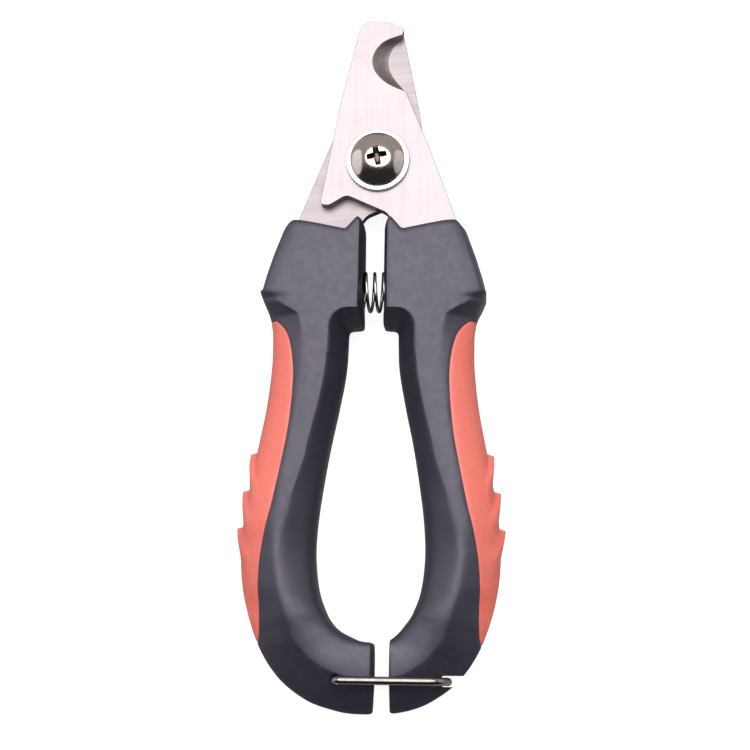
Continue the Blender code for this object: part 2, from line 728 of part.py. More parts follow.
def return_spring():
    """A compression spring across the gap, with a closed turn at each end, in the two pockets."""
    half_length = POCKET_DEPTH - GAP - SPRING_WIRE
    closed = 2 * SPRING_WIRE + CLOSED_TURN_GAP
    active = round(2 * (half_length - closed) / SPRING_PITCH)
    turns = active + 2
    points = []
    for i in range(turns * SPRING_STEPS + 1):
        turn = i / SPRING_STEPS
        if turn <= 1:
            x = -half_length + closed * turn
        elif turn >= turns - 1:
            x = half_length - closed * (turns - turn)
        else:
            x = -half_length + closed + (turn - 1) * 2 * (half_length - closed) / active
        angle = 2 * pi * turn
        points.append((x, SPRING_Y + SPRING_RADIUS * cos(angle), MID_Z + SPRING_RADIUS * sin(angle)))
    spring = rod("return_spring", points, SPRING_WIRE, "nickel")
    put_origin(spring, (0, SPRING_Y, MID_Z))
    return spring


def lock_wire():
    """A wire bail: two pins in the left foot, a leg along each face and a closed end round the right foot."""
    x0, y0 = LOCK_AXIS
    end = x0 + LOCK_REACH
    small, large = LOCK_PIN_BEND, LOCK_END_BEND
    leg = LOCK_LEG_Z
    pin_turn = arc((x0 + small, leg - small), small, pi, pi / 2, LOCK_PIN_STEPS)
    end_turn = arc((end - large, leg - large), large, pi / 2, 0, LOCK_END_STEPS)
    half_path = [(x0, LOCK_PIN_TIP)] + pin_turn + end_turn
    path = half_path + [(x, -z) for x, z in reversed(half_path)]
    points = [(x, y0, MID_Z + z) for x, z in path]
    wire = rod("lock_wire", points, LOCK_WIRE_RADIUS, "nickel", LOCK_WIRE_RESOLUTION)
    put_origin(wire, (*LOCK_AXIS, MID_Z))
    return wire


# ---------------------------------------------------------------- assembly

def empty(name, point):
    made = bpy.data.objects.new(name, None)
    made.location = Vector(point) * MM
    bpy.data.collections[ASSEMBLY].objects.link(made)
    return made


def build():
    clear_scene()
    new_collection(ASSEMBLY)
    cutters = new_collection("cutters")
    cutters.hide_render = True

    left_half = [blade("rear_blade", -1), *handle(-1)]
    right_half = [blade("front_blade", 1), *handle(1)]
    screw_set = pivot_hardware()
    spring = return_spring()
    wire = lock_wire()

    for obj in left_half + right_half:
        put_origin(obj, (*PIVOT, MID_Z))
    hang_on(empty("handle_hinge_axis", (*PIVOT, MID_Z)), *right_half)
    hang_on(empty("lock_axis", (*LOCK_AXIS, MID_Z)), wire)
    for obj in left_half + right_half + screw_set + [spring, wire]:
        smooth(obj)


build()
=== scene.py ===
"""Pet nail trimmer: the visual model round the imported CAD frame. Lengths are millimetres unless said."""

import bmesh
import bpy
import numpy as np
from math import asin, cos, degrees, pi, radians, sin, tan
from mathutils import Matrix, Vector

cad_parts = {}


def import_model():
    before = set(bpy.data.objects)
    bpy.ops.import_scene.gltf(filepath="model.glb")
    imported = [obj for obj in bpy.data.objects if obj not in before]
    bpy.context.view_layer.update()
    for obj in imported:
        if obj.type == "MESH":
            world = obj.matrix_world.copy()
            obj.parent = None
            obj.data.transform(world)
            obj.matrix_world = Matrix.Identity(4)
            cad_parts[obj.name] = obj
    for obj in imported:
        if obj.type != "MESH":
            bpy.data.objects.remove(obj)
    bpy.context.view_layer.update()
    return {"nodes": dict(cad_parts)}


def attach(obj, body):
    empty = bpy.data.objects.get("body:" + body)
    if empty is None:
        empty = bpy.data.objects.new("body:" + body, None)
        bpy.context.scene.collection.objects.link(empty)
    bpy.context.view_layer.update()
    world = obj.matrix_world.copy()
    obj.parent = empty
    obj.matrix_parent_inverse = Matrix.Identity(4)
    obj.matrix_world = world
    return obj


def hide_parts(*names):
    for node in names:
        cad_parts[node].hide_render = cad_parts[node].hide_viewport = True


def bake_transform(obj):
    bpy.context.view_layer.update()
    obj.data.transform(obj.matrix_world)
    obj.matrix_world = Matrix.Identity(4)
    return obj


MM = 0.001

# --- the camera, at the photograph's angle (metres) ---
CAMERA_AT = (0.026263, -0.072730, 0.3910)
CAMERA_AIM = (0.000388, -0.003880, 0.0085)
CAMERA_ROLL = radians(0.843)
CAMERA_LENS = 83.09
CAMERA_SENSOR = 36.0  # mm, as is the lens
CAMERA_CLIP = (0.01, 20.0)

# --- the tool's main lines ---
MID_Z = 8.5  # the plane between the two blades
PIVOT = (0.5, 45.3)
LEAN = radians(0.7)  # the blades stand turned by this about the pivot
BLADE_GAP = 0.12
BLADE_THICKNESS = 2.8

# --- handles: ribs (outer point, inner point, half thickness), x measured outwards ---
TOP_RIBS = [
    ((19.45, 29.9), (2.9, 31.3), 7.2), ((20.8, 28.7), (2.2, 29.6), 7.6), ((23.0, 22.8), (2.2, 22.8), 8.2),
    ((24.5, 18.0), (2.2, 18.0), 8.4), ((25.45, 14.2), (2.3, 14.2), 8.5), ((24.7, 12.1), (2.3, 11.9), 8.5),
    ((23.75, 9.9), (2.3, 10.2), 8.5), ((23.25, 8.4), (2.2, 8.6), 8.5), ((22.9, 6.5), (2.3, 6.6), 8.5),
    ((22.8, 5.8), (4.9, 6.3), 8.5), ((22.75, 5.2), (5.6, 5.5), 8.5), ((22.7, 4.6), (5.65, 4.6), 8.5),
]
GRIP_RIBS = [
    ((22.8, -2.8), (5.9, -2.8), 8.5), ((23.8, -11.9), (7.5, -11.9), 8.5), ((25.5, -21.0), (9.4, -21.0), 8.5),
    ((27.2, -30.2), (11.0, -31.0), 8.5), ((28.4, -38.2), (11.9, -39.0), 8.5), ((28.7, -45.4), (12.05, -45.4), 8.5),
    ((28.1, -52.0), (11.3, -52.0), 8.5), ((26.5, -58.8), (9.6, -57.1), 8.1), ((23.6, -66.0), (7.9, -59.7), 7.1),
]
LEFT_FOOT_RIBS = [
    ((19.3, -71.9), (6.6, -60.9), 6.5), ((13.5, -76.1), (5.4, -61.6), 6.3), ((8.1, -78.0), (3.7, -62.4), 6.3),
    ((3.9, -78.8), (1.7, -63.2), 6.3), ((-0.95, -78.9), (-0.95, -63.5), 6.3),
]
RIGHT_FOOT_RIBS = [
    ((19.3, -71.9), (6.8, -61.1), 6.5), ((13.9, -75.9), (5.9, -62.0), 6.3), ((9.5, -77.8), (5.2, -62.6), 6.3),
    ((4.7, -78.8), (4.7, -63.0), 6.3),
]
# Width and height of the round that faces the other handle and its slope where it meets the front, in degrees, by y
INNER_ROUND = [
    (31.3, 0.95, 7.2, 72), (4.6, 0.95, 7.2, 72), (-1.0, 4.1, 8.2, 58), (-8.0, 4.0, 7.4, 56), (-22.0, 4.3, 6.6, 50),
    (-34.0, 5.6, 6.8, 38), (-44.0, 7.2, 7.0, 29), (-52.0, 6.8, 6.2, 21), (-58.0, 5.8, 4.8, 14), (-61.5, 4.2, 3.2, 9),
    (-63.5, 2.2, 1.9, 4),
]
# The same on the palm side
OUTER_ROUND = [
    (31.1, 1.1, 7.4, 74), (14.7, 1.1, 7.4, 74), (14.0, 1.3, 2.2, 34), (12.2, 2.9, 3.1, 33), (8.0, 6.8, 6.6, 32),
    (1.0, 7.2, 7.6, 16), (-36.0, 7.4, 8.0, 16), (-44.0, 7.9, 7.9, 25), (-50.0, 8.4, 7.6, 30), (-56.0, 8.7, 7.2, 38),
    (-61.0, 8.1, 6.6, 43), (-66.0, 7.7, 6.1, 45), (-72.0, 8.2, 5.6, 45), (-79.0, 8.4, 5.4, 45),
]
SMALLEST_ROUND = 0.25  # of a round's width and height
ROUND_SHARE = 0.48  # of a section's width that one round may take
SIDE_WALL = 0.15  # least upright wall between the front's round and the back's
LEAST_TURN = 0.1  # least share of a round's height that is upright at its side
# The hollow scooped out of the block's front where the grip begins: its corner and the fall of its sides
HOLLOW_CORNER = (9.5, 10.0)
HOLLOW_RADIUS = 4.5
HOLLOW_FALL = (4.1, 8.2, 58)
HOLLOW_END = -1.0
# Where the core is cut back below the hollow (x from, x to, y from, y to) and the half thickness it keeps
RELIEF = (0.5, 8.7, 3.6, 9.4)
RELIEF_WEB = 0.9
RIB_SOFTNESS = 0.3  # how far the outline's corners are rounded over
# (y, how far a section's creases are rounded over)
SECTION_SOFTNESS = [(31.0, 0.3), (-28.0, 0.3), (-42.0, 1.3), (-54.0, 1.0), (-62.0, 0.35)]
END_HOLD = 2.5  # rounding over narrows from this many times its reach before an end
# (y, how far the block's front falls towards the palm side)
ROLL = [(31.0, 0.75), (13.0, 0.75), (9.0, 0.0)]
ROLL_POWER = 4
CROWN = 0.22  # the front's slight swelling between its creases
LEAST_SPAN = 1.0  # half the width over which the two are spread, at least
END_ROUND = 0.75  # round at the top end
FOOT_ROUND = 0.6  # and at the foot
END_CLEAR = 1.15  # whole sections start this many rounds from an end
TOP_OUTLINE = [
    (2.0, 31.0), (2.6, 31.7), (3.2, 31.9), (3.9, 31.3), (6.35, 28.45), (16.0, 30.4), (18.0, 30.7), (19.0, 30.6),
    (19.6, 30.2), (23.0, 30.2),
]
TOP_OUTLINE_SOFTNESS = 0.3
TOP_OUTLINE_REACH = 9.0  # how far below the top its outline is felt
TOP_OUTLINE_SAMPLES = 17
TOP_OUTLINE_SPAN = 2  # widths of softness to either side that are averaged
TOP_OUTLINE_END = 20.0  # y below which no point of a section feels it

# --- grip pads ---
PAD_EDGE = [
    (24.4, 7.6), (22.0, 7.6), (19.6, 5.3), (18.3, 2.2), (17.5, -2.4), (17.4, -8.0), (18.2, -17.0), (19.7, -25.4),
    (21.4, -33.5), (22.9, -39.6), (23.9, -45.5), (24.3, -51.4), (24.1, -56.5), (24.3, -62.8), (25.6, -65.0),
]
PAD_REACH = 36.0
SEAM_LEVELS = (-0.34, -0.12, 0.0, 0.12, 0.34)
SEAM_DEPTH = 0.16
SEAM_SNAP = 0.02  # points this near a level are moved onto it
OFF_SEAM = 9.0  # stands for a distance outside the pad
TEETH = [(-22.3, 1.5), (-30.7, 1.5), (-38.9, 1.35)]
TOOTH_RUN = 5.4  # length over which a tooth dies away
TOOTH_RISE = 0.6
TOOTH_SWEEP = 7.4  # how much further down it stands at its front end
TOOTH_SPREAD = 0.55  # share of the palm side's round that a tooth covers
TOOTH_FADE = 1.25  # powers of its fall down the handle
TOOTH_FULLNESS = 0.42  # and round the palm side

# --- lock and spring ---
LOCK_AXIS = (-7.0, -71.65)
LOCK_WIRE_RADIUS = 0.9
LOCK_REACH = 24.2
LOCK_LEG_Z = 7.45
PIN_TIP = 1.6
PIN_BEND = 1.5
LOCK_END_BEND = 4.0
SPRING_Y = 15.1
SPRING_RADIUS = 4.35
SPRING_WIRE = 0.375
SPRING_PITCH = 2.05
SPRING_END = 9.4  # x of the face that the spring's end stands GAP away from
CLOSED_TURN_GAP = 0.06
POCKET_RADIUS = 5.1
POCKET_MOUTH = 0.5  # x at which the spring's pockets begin
POCKET_FLOOR = 11.6  # and end
LOCK_HOLE_CLEARANCE = 0.16
LOCK_SINK_WIDTH = 0.75  # how much the sink is wider than the hole
LOCK_SINK_TOP = 0.35  # how far its cone goes on outside the foot's face
LOCK_SINK_DEPTH = 1.1
SLOT_LOW, SLOT_HIGH = -72.75, -70.35  # the slot in the right foot: y from and to
SLOT_FLOOR = 15.7  # x of its floor
SLOT_ROUND = 0.7  # radius of its floor's corners
SLOT_MOUTH = 40.0  # x past the foot's outer side

# --- blades and their pivot ---
BLADE_CORNERS = [
    (5.4, 31.9, 0.8), (1.2, 33.75, 7.0), (-4.65, 33.35, 2.6), (-9.0, 13.5, 60.0), (-13.0, -10.5, 1.0),
    (-10.8, -10.5, 1.5), (-7.0, -8.1, 2.0), (2.2, -12.1, 3.0), (9.0, -20.5, 3.0), (10.6, -25.5, 4.0),
    (10.8, -40.0, 40.0), (15.0, -68.4, 1.6), (19.3, -67.8, 1.6), (16.6, -44.0, 60.0), (16.4, -27.0, 6.0),
    (18.7, -15.0, 2.0), (11.6, 3.6, 60.0), (5.85, 16.9, 0.3), (4.9, 30.4, 0.2),
]
# The claw notch on the cutting face, and its wide rim on the outer face
NOTCH_EDGE = [
    (5.6, 31.0), (4.1, 29.9), (3.1, 28.8), (2.3, 27.55), (1.78, 26.1), (1.62, 24.6), (1.92, 22.9), (2.85, 21.0),
    (4.25, 19.15), (6.3, 16.95),
]
NOTCH_RIM = [
    (5.6, 30.45), (3.4, 29.8), (0.75, 28.6), (-1.0, 26.7), (-1.78, 24.4), (-1.45, 22.2), (-0.3, 20.4), (1.35, 18.9),
    (3.5, 17.7), (6.3, 16.6),
]
NOTCH_MOUTH = 24.0  # x past the blade's edge
NOTCH_CENTRE = (4.95, 23.75)
NOTCH_REACH = 7.5  # the ground wall lies within this of the centre
NOTCH_LEVELS = 10  # levels of the ground wall
NOTCH_HOLLOW = 0.72  # power that makes the wall hollow
NOTCH_RIM_SIZE = 0.45  # chamfer of the rim: width, and depth where it starts
NOTCH_RIM_DEPTH = 0.12
NOTCH_OVERCUT = 0.3
BLADE_TOP = MID_Z + BLADE_GAP / 2 + BLADE_THICKNESS
BLADE_CHAMFER = 0.1
GROUND_TILT = 0.97  # faces of the notch stand at least this far off level (their normal's z)
# The sheared edges are painted near black: painted shade on the blade's sides.
SHEARED_TILT = 0.3  # and the sheared edges this far
BLADE_HOLE_OVERCUT = 4
SLEEVE_RADIUS = 3.0
RUNNING_CLEARANCE = 0.06
GAP = 0.3  # between pieces that rest on each other
HEAD_RADIUS = 6.2
HEAD_HEIGHT = 3.3
HEAD_RIM = 0.55  # height at which the head's dome starts
HEAD_RIM_ROUND = 0.12
HEAD_FOOT_ROUND = 0.15
DOME_SHARE = 0.985  # of the dome's angle, up to the rim's round
AXIS_RADIUS = 0.02  # a turned profile stays this far off its axis
SHANK_RADIUS = 1.9
SHANK_END = 0.84  # z of the shank's end
SHANK_CHAMFER = 0.3
SHANK_CHAMFER_TOP = 1.1  # z
# The cross recess: (depth below the head's top, half length, half width)
CROSS_LEVELS = [(2.1, 1.0, 0.30), (0.75, 2.05, 0.50), (0.3, 2.3, 0.6), (-0.5, 2.75, 1.0)]
CROSS_CORNER = 0.12
CROSS_TURN = radians(11)
CROSS_REACH = 3.2  # its faces lie this near the axis
CROSS_FLOOR = 0.5  # above the head's foot
CROSS_SKIN = 0.12  # and this far below the dome
WASHER_RADIUS = 7.25
WASHER_THICKNESS = 0.8
WASHER_ROUND = 0.22

# --- fineness of the meshes ---
FLAT_STEPS = 44  # across the flat front
OUTER_STEPS = 28  # round the palm side
INNER_STEPS = 20  # round the side that faces the other handle
HOLLOW_STEPS = 24
END_STEPS = 5
RIB_SPACING = 0.35
FINE_RIB_SPACING = 0.16
FINE_RIBS_BELOW = 10.3  # y
GRIP_STEPS = 18  # between two ribs of the grip
TEETH_STEPS = 40  # and where the teeth are
TEETH_SPAN = (-46, -17)  # y
SEAM_STEPS = 8
TURN_STEPS = 128  # round turned pieces
BORE_STEPS = 48
LOCK_HOLE_STEPS = 40
BLADE_HOLE_STEPS = 64
BLADE_CORNER_STEPS = 12
NOTCH_STEPS = 6
SMALL_CORNER_STEPS = 4
SLOT_CORNER_STEPS = 6
DOME_STEPS = 24
WASHER_ROUND_STEPS = 6
SPRING_TURN_STEPS = 40
SPRING_SIDES = 12
WIRE_SIDES = 28
PIN_STEPS = 6
PIN_BEND_STEPS = 12
END_BEND_STEPS = 18
LEG_STEPS = 20
ROD_END_SHARE = 0.7  # a rod's end faces are this much smaller than its section
CORNER_SHARE = 0.48  # of an edge that one corner's round may take
MITRE_LIMIT = 0.8  # least squared length of the two normals' sum at a corner of a grown outline
OVERCUT = 1.0
SHARP_ANGLE = 30  # degrees
COVER_SHARP_ANGLE = 32
CUT_SHARP_ANGLE = 25
SCREW_SHARP_ANGLE = 28
ROD_SHARP_ANGLE = 60
MERGE_DISTANCE = 2e-6  # metres
DEGENERATE_LENGTH = 1e-6  # metres
SKIN_MERGE_DISTANCE = 1e-4  # mm, in the handle's skin
LEAST_REACH = 1e-4  # of rounding over
LEAST_STEP = 1e-5  # between two points of a section
TINY = 1e-6


# === small geometry helpers ===

def smoothstep(value):
    value = min(max(value, 0.0), 1.0)
    return value * value * (3 - 2 * value)


def along(table, place):
    """Reads rows (place, value...) between its rows; places fall down the table."""
    if place >= table[0][0]:
        return table[0][1:]
    for row, other in zip(table, table[1:]):
        if place >= other[0]:
            share = smoothstep((row[0] - place) / (row[0] - other[0]))
            return tuple(a + (b - a) * share for a, b in zip(row[1:], other[1:]))
    return table[-1][1:]


def softened(rows, places, softness):
    """Gaussian average of the rows over distance along the run; both ends stay where they are."""
    rows, places = np.array(rows, float), np.array(places, float)
    apart = places[:, None] - places[None, :]
    to_end = np.minimum(places - places[0], places[-1] - places)
    reach = np.minimum(softness, np.maximum(to_end / END_HOLD, LEAST_REACH))
    spacing = np.gradient(places)
    weight = np.exp(-0.5 * (apart / reach[:, None]) ** 2) * spacing[None, :]
    return (weight @ rows) / weight.sum(1)[:, None]


def catmull(points, steps):
    """Points on a Catmull-Rom curve through the given vectors; steps is one number for each stretch."""
    line = [points[0] * 2 - points[1], *points, points[-1] * 2 - points[-2]]
    out = []
    for n, (p0, p1, p2, p3) in enumerate(zip(line, line[1:], line[2:], line[3:])):
        for i in range(steps[n]):
            t = i / steps[n]
            out.append(0.5 * (
                2 * p1 + (p2 - p0) * t + (2 * p0 - 5 * p1 + 4 * p2 - p3) * t ** 2
                + (3 * p1 - p0 - 3 * p2 + p3) * t ** 3
            ))
    out.append(points[-1])
    return out


def add_object(name, data):
    obj = bpy.data.objects.new(name, data)
    bpy.context.scene.collection.objects.link(obj)
    return obj


def new_object(name, vertices, faces, smooth_angle=SHARP_ANGLE):
    """A mesh object from points in millimetres."""
    mesh = bpy.data.meshes.new(name)
    mesh.from_pydata([tuple(c * MM for c in v) for v in vertices], [], faces)
    obj = add_object(name, mesh)
    tidy_mesh(obj, smooth_angle)
    return obj


def tidy_mesh(obj, smooth_angle):
    bm = bmesh.new()
    bm.from_mesh(obj.data)
    bmesh.ops.remove_doubles(bm, verts=bm.verts, dist=MERGE_DISTANCE)
    bmesh.ops.dissolve_degenerate(bm, dist=DEGENERATE_LENGTH, edges=bm.edges)
    bmesh.ops.delete(bm, geom=[e for e in bm.edges if not e.link_faces], context="EDGES")
    bmesh.ops.delete(bm, geom=[v for v in bm.verts if not v.link_edges], context="VERTS")
    bmesh.ops.recalc_face_normals(bm, faces=bm.faces)
    bm.to_mesh(obj.data)
    bm.free()
    obj.data.polygons.foreach_set("use_smooth", [True] * len(obj.data.polygons))
    obj.data.set_sharp_from_angle(angle=radians(smooth_angle))


def cut(obj, cutter):
    modifier = obj.modifiers.new("cut", "BOOLEAN")
    modifier.operation = "DIFFERENCE"
    modifier.solver = "EXACT"
    modifier.object = cutter
    depsgraph = bpy.context.evaluated_depsgraph_get()
    result = bpy.data.meshes.new_from_object(obj.evaluated_get(depsgraph))
    obj.modifiers.clear()
    result.name = obj.data.name
    obj.data = result
    bpy.data.objects.remove(cutter)


def polygon_area(points):
    return 0.5 * sum(a[0] * b[1] - b[0] * a[1] for a, b in zip(points, points[1:] + points[:1]))


def grown(points, distance):
    """A closed outline moved outwards by the distance (inwards if it is negative)."""
    turn = 1 if polygon_area(points) > 0 else -1
    out = []
    for before, here, after in zip(points[-1:] + points[:-1], points, points[1:] + points[:1]):
        a = (Vector(here) - Vector(before)).normalized()
        b = (Vector(after) - Vector(here)).normalized()
        normal_a, normal_b = Vector((a.y, -a.x)), Vector((b.y, -b.x))
        middle = normal_a + normal_b
        scale = 2 / max(middle.length_squared, MITRE_LIMIT)
        out.append(tuple(Vector(here) + middle * scale * distance * turn))
    return out


def arc(centre, radius, start, end, steps):
    """Points on an arc; angles in degrees."""
    out = []
    for i in range(steps + 1):
        angle = radians(start + (end - start) * i / steps)
        out.append((centre[0] + radius * cos(angle), centre[1] + radius * sin(angle)))
    return out


def circle(centre, radius, steps):
    return arc(centre, radius, 0, 360, steps)[:-1]


def rounded(corners, steps):
    """Replaces each (x, y, radius) corner by an arc."""
    out = []
    for n, (x, y, radius) in enumerate(corners):
        here = Vector((x, y))
        before = Vector(corners[n - 1][:2]) - here
        after = Vector(corners[(n + 1) % len(corners)][:2]) - here
        half = before.angle(after) / 2
        reach = min(radius / tan(half), before.length * CORNER_SHARE, after.length * CORNER_SHARE)
        radius = reach * tan(half)
        start, end = here + before.normalized() * reach, here + after.normalized() * reach
        centre = here + (before.normalized() + after.normalized()).normalized() * (radius / sin(half))
        first = start - centre
        turn = first.angle_signed(end - centre)
        for i in range(steps + 1):
            angle = -turn * i / steps
            c, s = cos(angle), sin(angle)
            out.append(tuple(centre + Vector((first.x * c - first.y * s, first.x * s + first.y * c))))
    return out


def ring_faces(count, rings):
    """Faces at both ends of a run of closed rings with so many points each, and between the rings."""
    last = (rings - 1) * count
    faces = [tuple(range(count))[::-1], tuple(range(last, last + count))]
    for a in range(0, last, count):
        for k in range(count):
            j = (k + 1) % count
            faces.append((a + k, a + j, a + count + j, a + count + k))
    return faces


def stacked(name, levels):
    """A solid from closed outlines of one length, each (points, z), with flat ends."""
    vertices = [(x, y, z) for points, z in levels for x, y in points]
    return new_object(name, vertices, ring_faces(len(levels[0][0]), len(levels)))


def turned(name, profile):
    """A solid of revolution about the pivot from a closed (radius, z) profile."""
    count = len(profile)
    vertices, faces = [], []
    for k in range(TURN_STEPS):
        angle = 2 * pi * k / TURN_STEPS
        for radius, z in profile:
            vertices.append((PIVOT[0] + radius * cos(angle), PIVOT[1] + radius * sin(angle), z))
    for k in range(TURN_STEPS):
        for i in range(count):
            j = (i + 1) % count
            a, b = k * count, (k + 1) % TURN_STEPS * count
            faces.append((a + i, b + i, b + j, a + j))
    return new_object(name, vertices, faces)


def tube(name, points, radius, sides):
    """A round rod along a run of 3-D points, a little smaller at its two end faces."""
    points = [Vector(p) for p in points]
    around = zip(points[:1] + points[:-1], points[1:] + points[-1:])
    tangents = [(after - before).normalized() for before, after in around]
    shares = [ROD_END_SHARE] + [1.0] * (len(points) - 2) + [ROD_END_SHARE]
    normal = tangents[0].orthogonal().normalized()
    vertices = []
    for n, (point, tangent, share) in enumerate(zip(points, tangents, shares)):
        if n:
            normal = (tangents[n - 1].rotation_difference(tangent) @ normal).normalized()
        other = tangent.cross(normal)
        for k in range(sides):
            angle = 2 * pi * k / sides
            vertices.append(tuple(point + (normal * cos(angle) + other * sin(angle)) * radius * share))
    return new_object(name, vertices, ring_faces(sides, len(points)), ROD_SHARP_ANGLE)


def on_blade(points, side):
    """From the blade's own frame to the tool's: side 1 is the front blade, -1 the rear one."""
    c, s = cos(LEAN), sin(LEAN)
    placed = [(PIVOT[0] + side * x * c + y * s, PIVOT[1] + y * c - side * x * s) for x, y in points]
    return placed if side > 0 else placed[::-1]


# === handles ===

def rib_run(side):
    """Smoothed dense ribs from the top to the foot, as rows (outer x, y, inner x, y, half), and their places."""
    top = [Vector((*outer, *inner, half)) for outer, inner, half in TOP_RIBS]
    rows = []
    for rib, other in zip(top, top[1:]):
        spacing = FINE_RIB_SPACING if rib[3] < FINE_RIBS_BELOW else RIB_SPACING
        steps = max(2, round((other - rib).length / spacing))
        rows += [rib.lerp(other, k / steps) for k in range(steps)]
    foot = LEFT_FOOT_RIBS if side < 0 else RIGHT_FOOT_RIBS
    rest = [top[-1]] + [Vector((*outer, *inner, half)) for outer, inner, half in GRIP_RIBS + foot]
    low, high = TEETH_SPAN
    steps = [TEETH_STEPS if low < (a[1] + b[1]) / 2 < high else GRIP_STEPS for a, b in zip(rest, rest[1:])]
    rows += catmull(rest, steps)
    rows = np.array([tuple(r) for r in rows])
    rows[:, 4] = np.minimum(rows[:, 4], MID_Z)
    step = np.linalg.norm(np.diff(rows[:, :4], axis=0), axis=1) / 2
    places = np.concatenate(([0], np.cumsum(step)))
    return softened(rows, places, RIB_SOFTNESS), places


def end_rows(rows, places, radius):
    """Rows that round off the start of the run: (row, inset), from the end face inwards."""
    quarter = arc((radius, radius), radius, 180, 270, END_STEPS)
    return [(np.array([np.interp(far, places, column) for column in rows.T]), inset) for far, inset in quarter]


def half_round(width, height, slope, steps):
    """(reach, rise, share) from the side, at share 0, to the flat front, which it meets at the given slope."""
    turn = max(height - width * tan(radians(slope)), height * LEAST_TURN)
    out = []
    for k in range(steps + 1):
        t = k / steps
        out.append((
            (1 - t) ** 2 * width + 2 * t * (1 - t) * width,
            2 * t * (1 - t) * turn + t * t * height, t,
        ))
    return out


def tooth_height(y, share):
    """How far the finger teeth stand out of the pad's round, at a height and a share of the way round it."""
    total = 0.0
    left = max(0.0, 1 - share / TOOTH_SPREAD)
    for top, height in TEETH:
        below = top - TOOTH_SWEEP * (share / TOOTH_SPREAD) - y
        if below < -TOOTH_RISE or below > TOOTH_RUN:
            continue
        rise = smoothstep((below + TOOTH_RISE) / TOOTH_RISE) if below < 0 else (1 - below / TOOTH_RUN) ** TOOTH_FADE
        total += height * left ** TOOTH_FULLNESS * rise
    return total


def hollow_depth(place):
    """How deep the hollow below the block is at a place."""
    corner = Vector(HOLLOW_CORNER)
    centre = corner - Vector((HOLLOW_RADIUS, HOLLOW_RADIUS))
    if place.x > centre.x and place.y > centre.y:
        inside = HOLLOW_RADIUS - (place - centre).length
    else:
        inside = min(corner.x - place.x, corner.y - place.y)
    if inside <= 0:
        return 0.0
    width, height, slope = HOLLOW_FALL
    fall = half_round(width, height, slope, HOLLOW_STEPS)[::-1]
    return float(np.interp(inside, [reach for reach, _, _ in fall], [height - rise for _, rise, _ in fall]))


def round_sizes(table, y, inset, width, half):
    """Width, height and slope of one of a section's rounds, kept inside the section."""
    wide, high, slope = along(table, y)
    wide = min(max(wide - inset, SMALLEST_ROUND), width * ROUND_SHARE)
    high = min(max(high - inset, SMALLEST_ROUND), half - SIDE_WALL)
    return wide, high, slope


def half_section(row, inset):
    """Points (x, y, z over the middle) from the palm side over the front to the side that faces the other handle."""
    outer, inner = Vector(row[:2]), Vector(row[2:4])
    across = (outer - inner).normalized()
    outer, inner, half = outer - across * inset, inner + across * inset, row[4] - inset
    width = (outer - inner).length
    outer_wide, outer_high, outer_slope = round_sizes(OUTER_ROUND, outer.y, inset, width, half)
    inner_wide, inner_high, inner_slope = round_sizes(INNER_ROUND, inner.y, inset, width, half)
    start, end = width - outer_wide, inner_wide
    points = [
        (start + reach + tooth_height(outer.y, share), half - outer_high + rise)
        for reach, rise, share in half_round(outer_wide, outer_high, outer_slope, OUTER_STEPS)
    ]
    points.insert(0, (points[0][0], 0.0))
    points += [(start + (end - start) * (k / FLAT_STEPS), half) for k in range(1, FLAT_STEPS)]
    points += [
        (inner_wide - reach, half - inner_high + rise)
        for reach, rise, _ in half_round(inner_wide, inner_high, inner_slope, INNER_STEPS)[::-1]
    ]
    points.append((0.0, 0.0))
    if inner.y > HOLLOW_END:
        points = [(reach, min(rise, half - hollow_depth(inner + across * reach))) for reach, rise in points]
    line = np.array(points)
    middle, span = (start + end) / 2, max((start - end) / 2, LEAST_SPAN)
    crown = CROWN * np.clip(np.abs(line[:, 0] - middle) / span, 0, 1) ** 2
    line[:, 1] -= crown * (line[:, 1] / half)
    roll = along(ROLL, outer.y)[0] * np.clip((line[:, 0] - middle) / span, 0, 1) ** ROLL_POWER
    line[:, 1] -= roll * (line[:, 1] / half)
    step = np.linalg.norm(np.diff(line, axis=0), axis=1)
    places = np.concatenate(([0], np.cumsum(np.maximum(step, LEAST_STEP))))
    line = softened(line, places, along(SECTION_SOFTNESS, inner.y)[0])
    line[0, 1] = line[-1, 1] = 0.0
    return [(inner.x + across.x * r, inner.y + across.y * r, h) for r, h in line]


def top_shift(x, y):
    """How far the top end's outline moves a point up or down from the first rib's straight line."""
    xs, ys = zip(*TOP_OUTLINE)
    near = np.linspace(-TOP_OUTLINE_SPAN, TOP_OUTLINE_SPAN, TOP_OUTLINE_SAMPLES) * TOP_OUTLINE_SOFTNESS
    weight = np.exp(-0.5 * (near / TOP_OUTLINE_SOFTNESS) ** 2)
    target = float((np.interp(x + near, xs, ys) * weight).sum() / weight.sum())
    outer, inner, _ = TOP_RIBS[0]
    line = inner[1] + (outer[1] - inner[1]) * min(max((x - inner[0]) / (outer[0] - inner[0]), 0), 1)
    return (target - line) * smoothstep((y - (line - TOP_OUTLINE_REACH)) / TOP_OUTLINE_REACH)


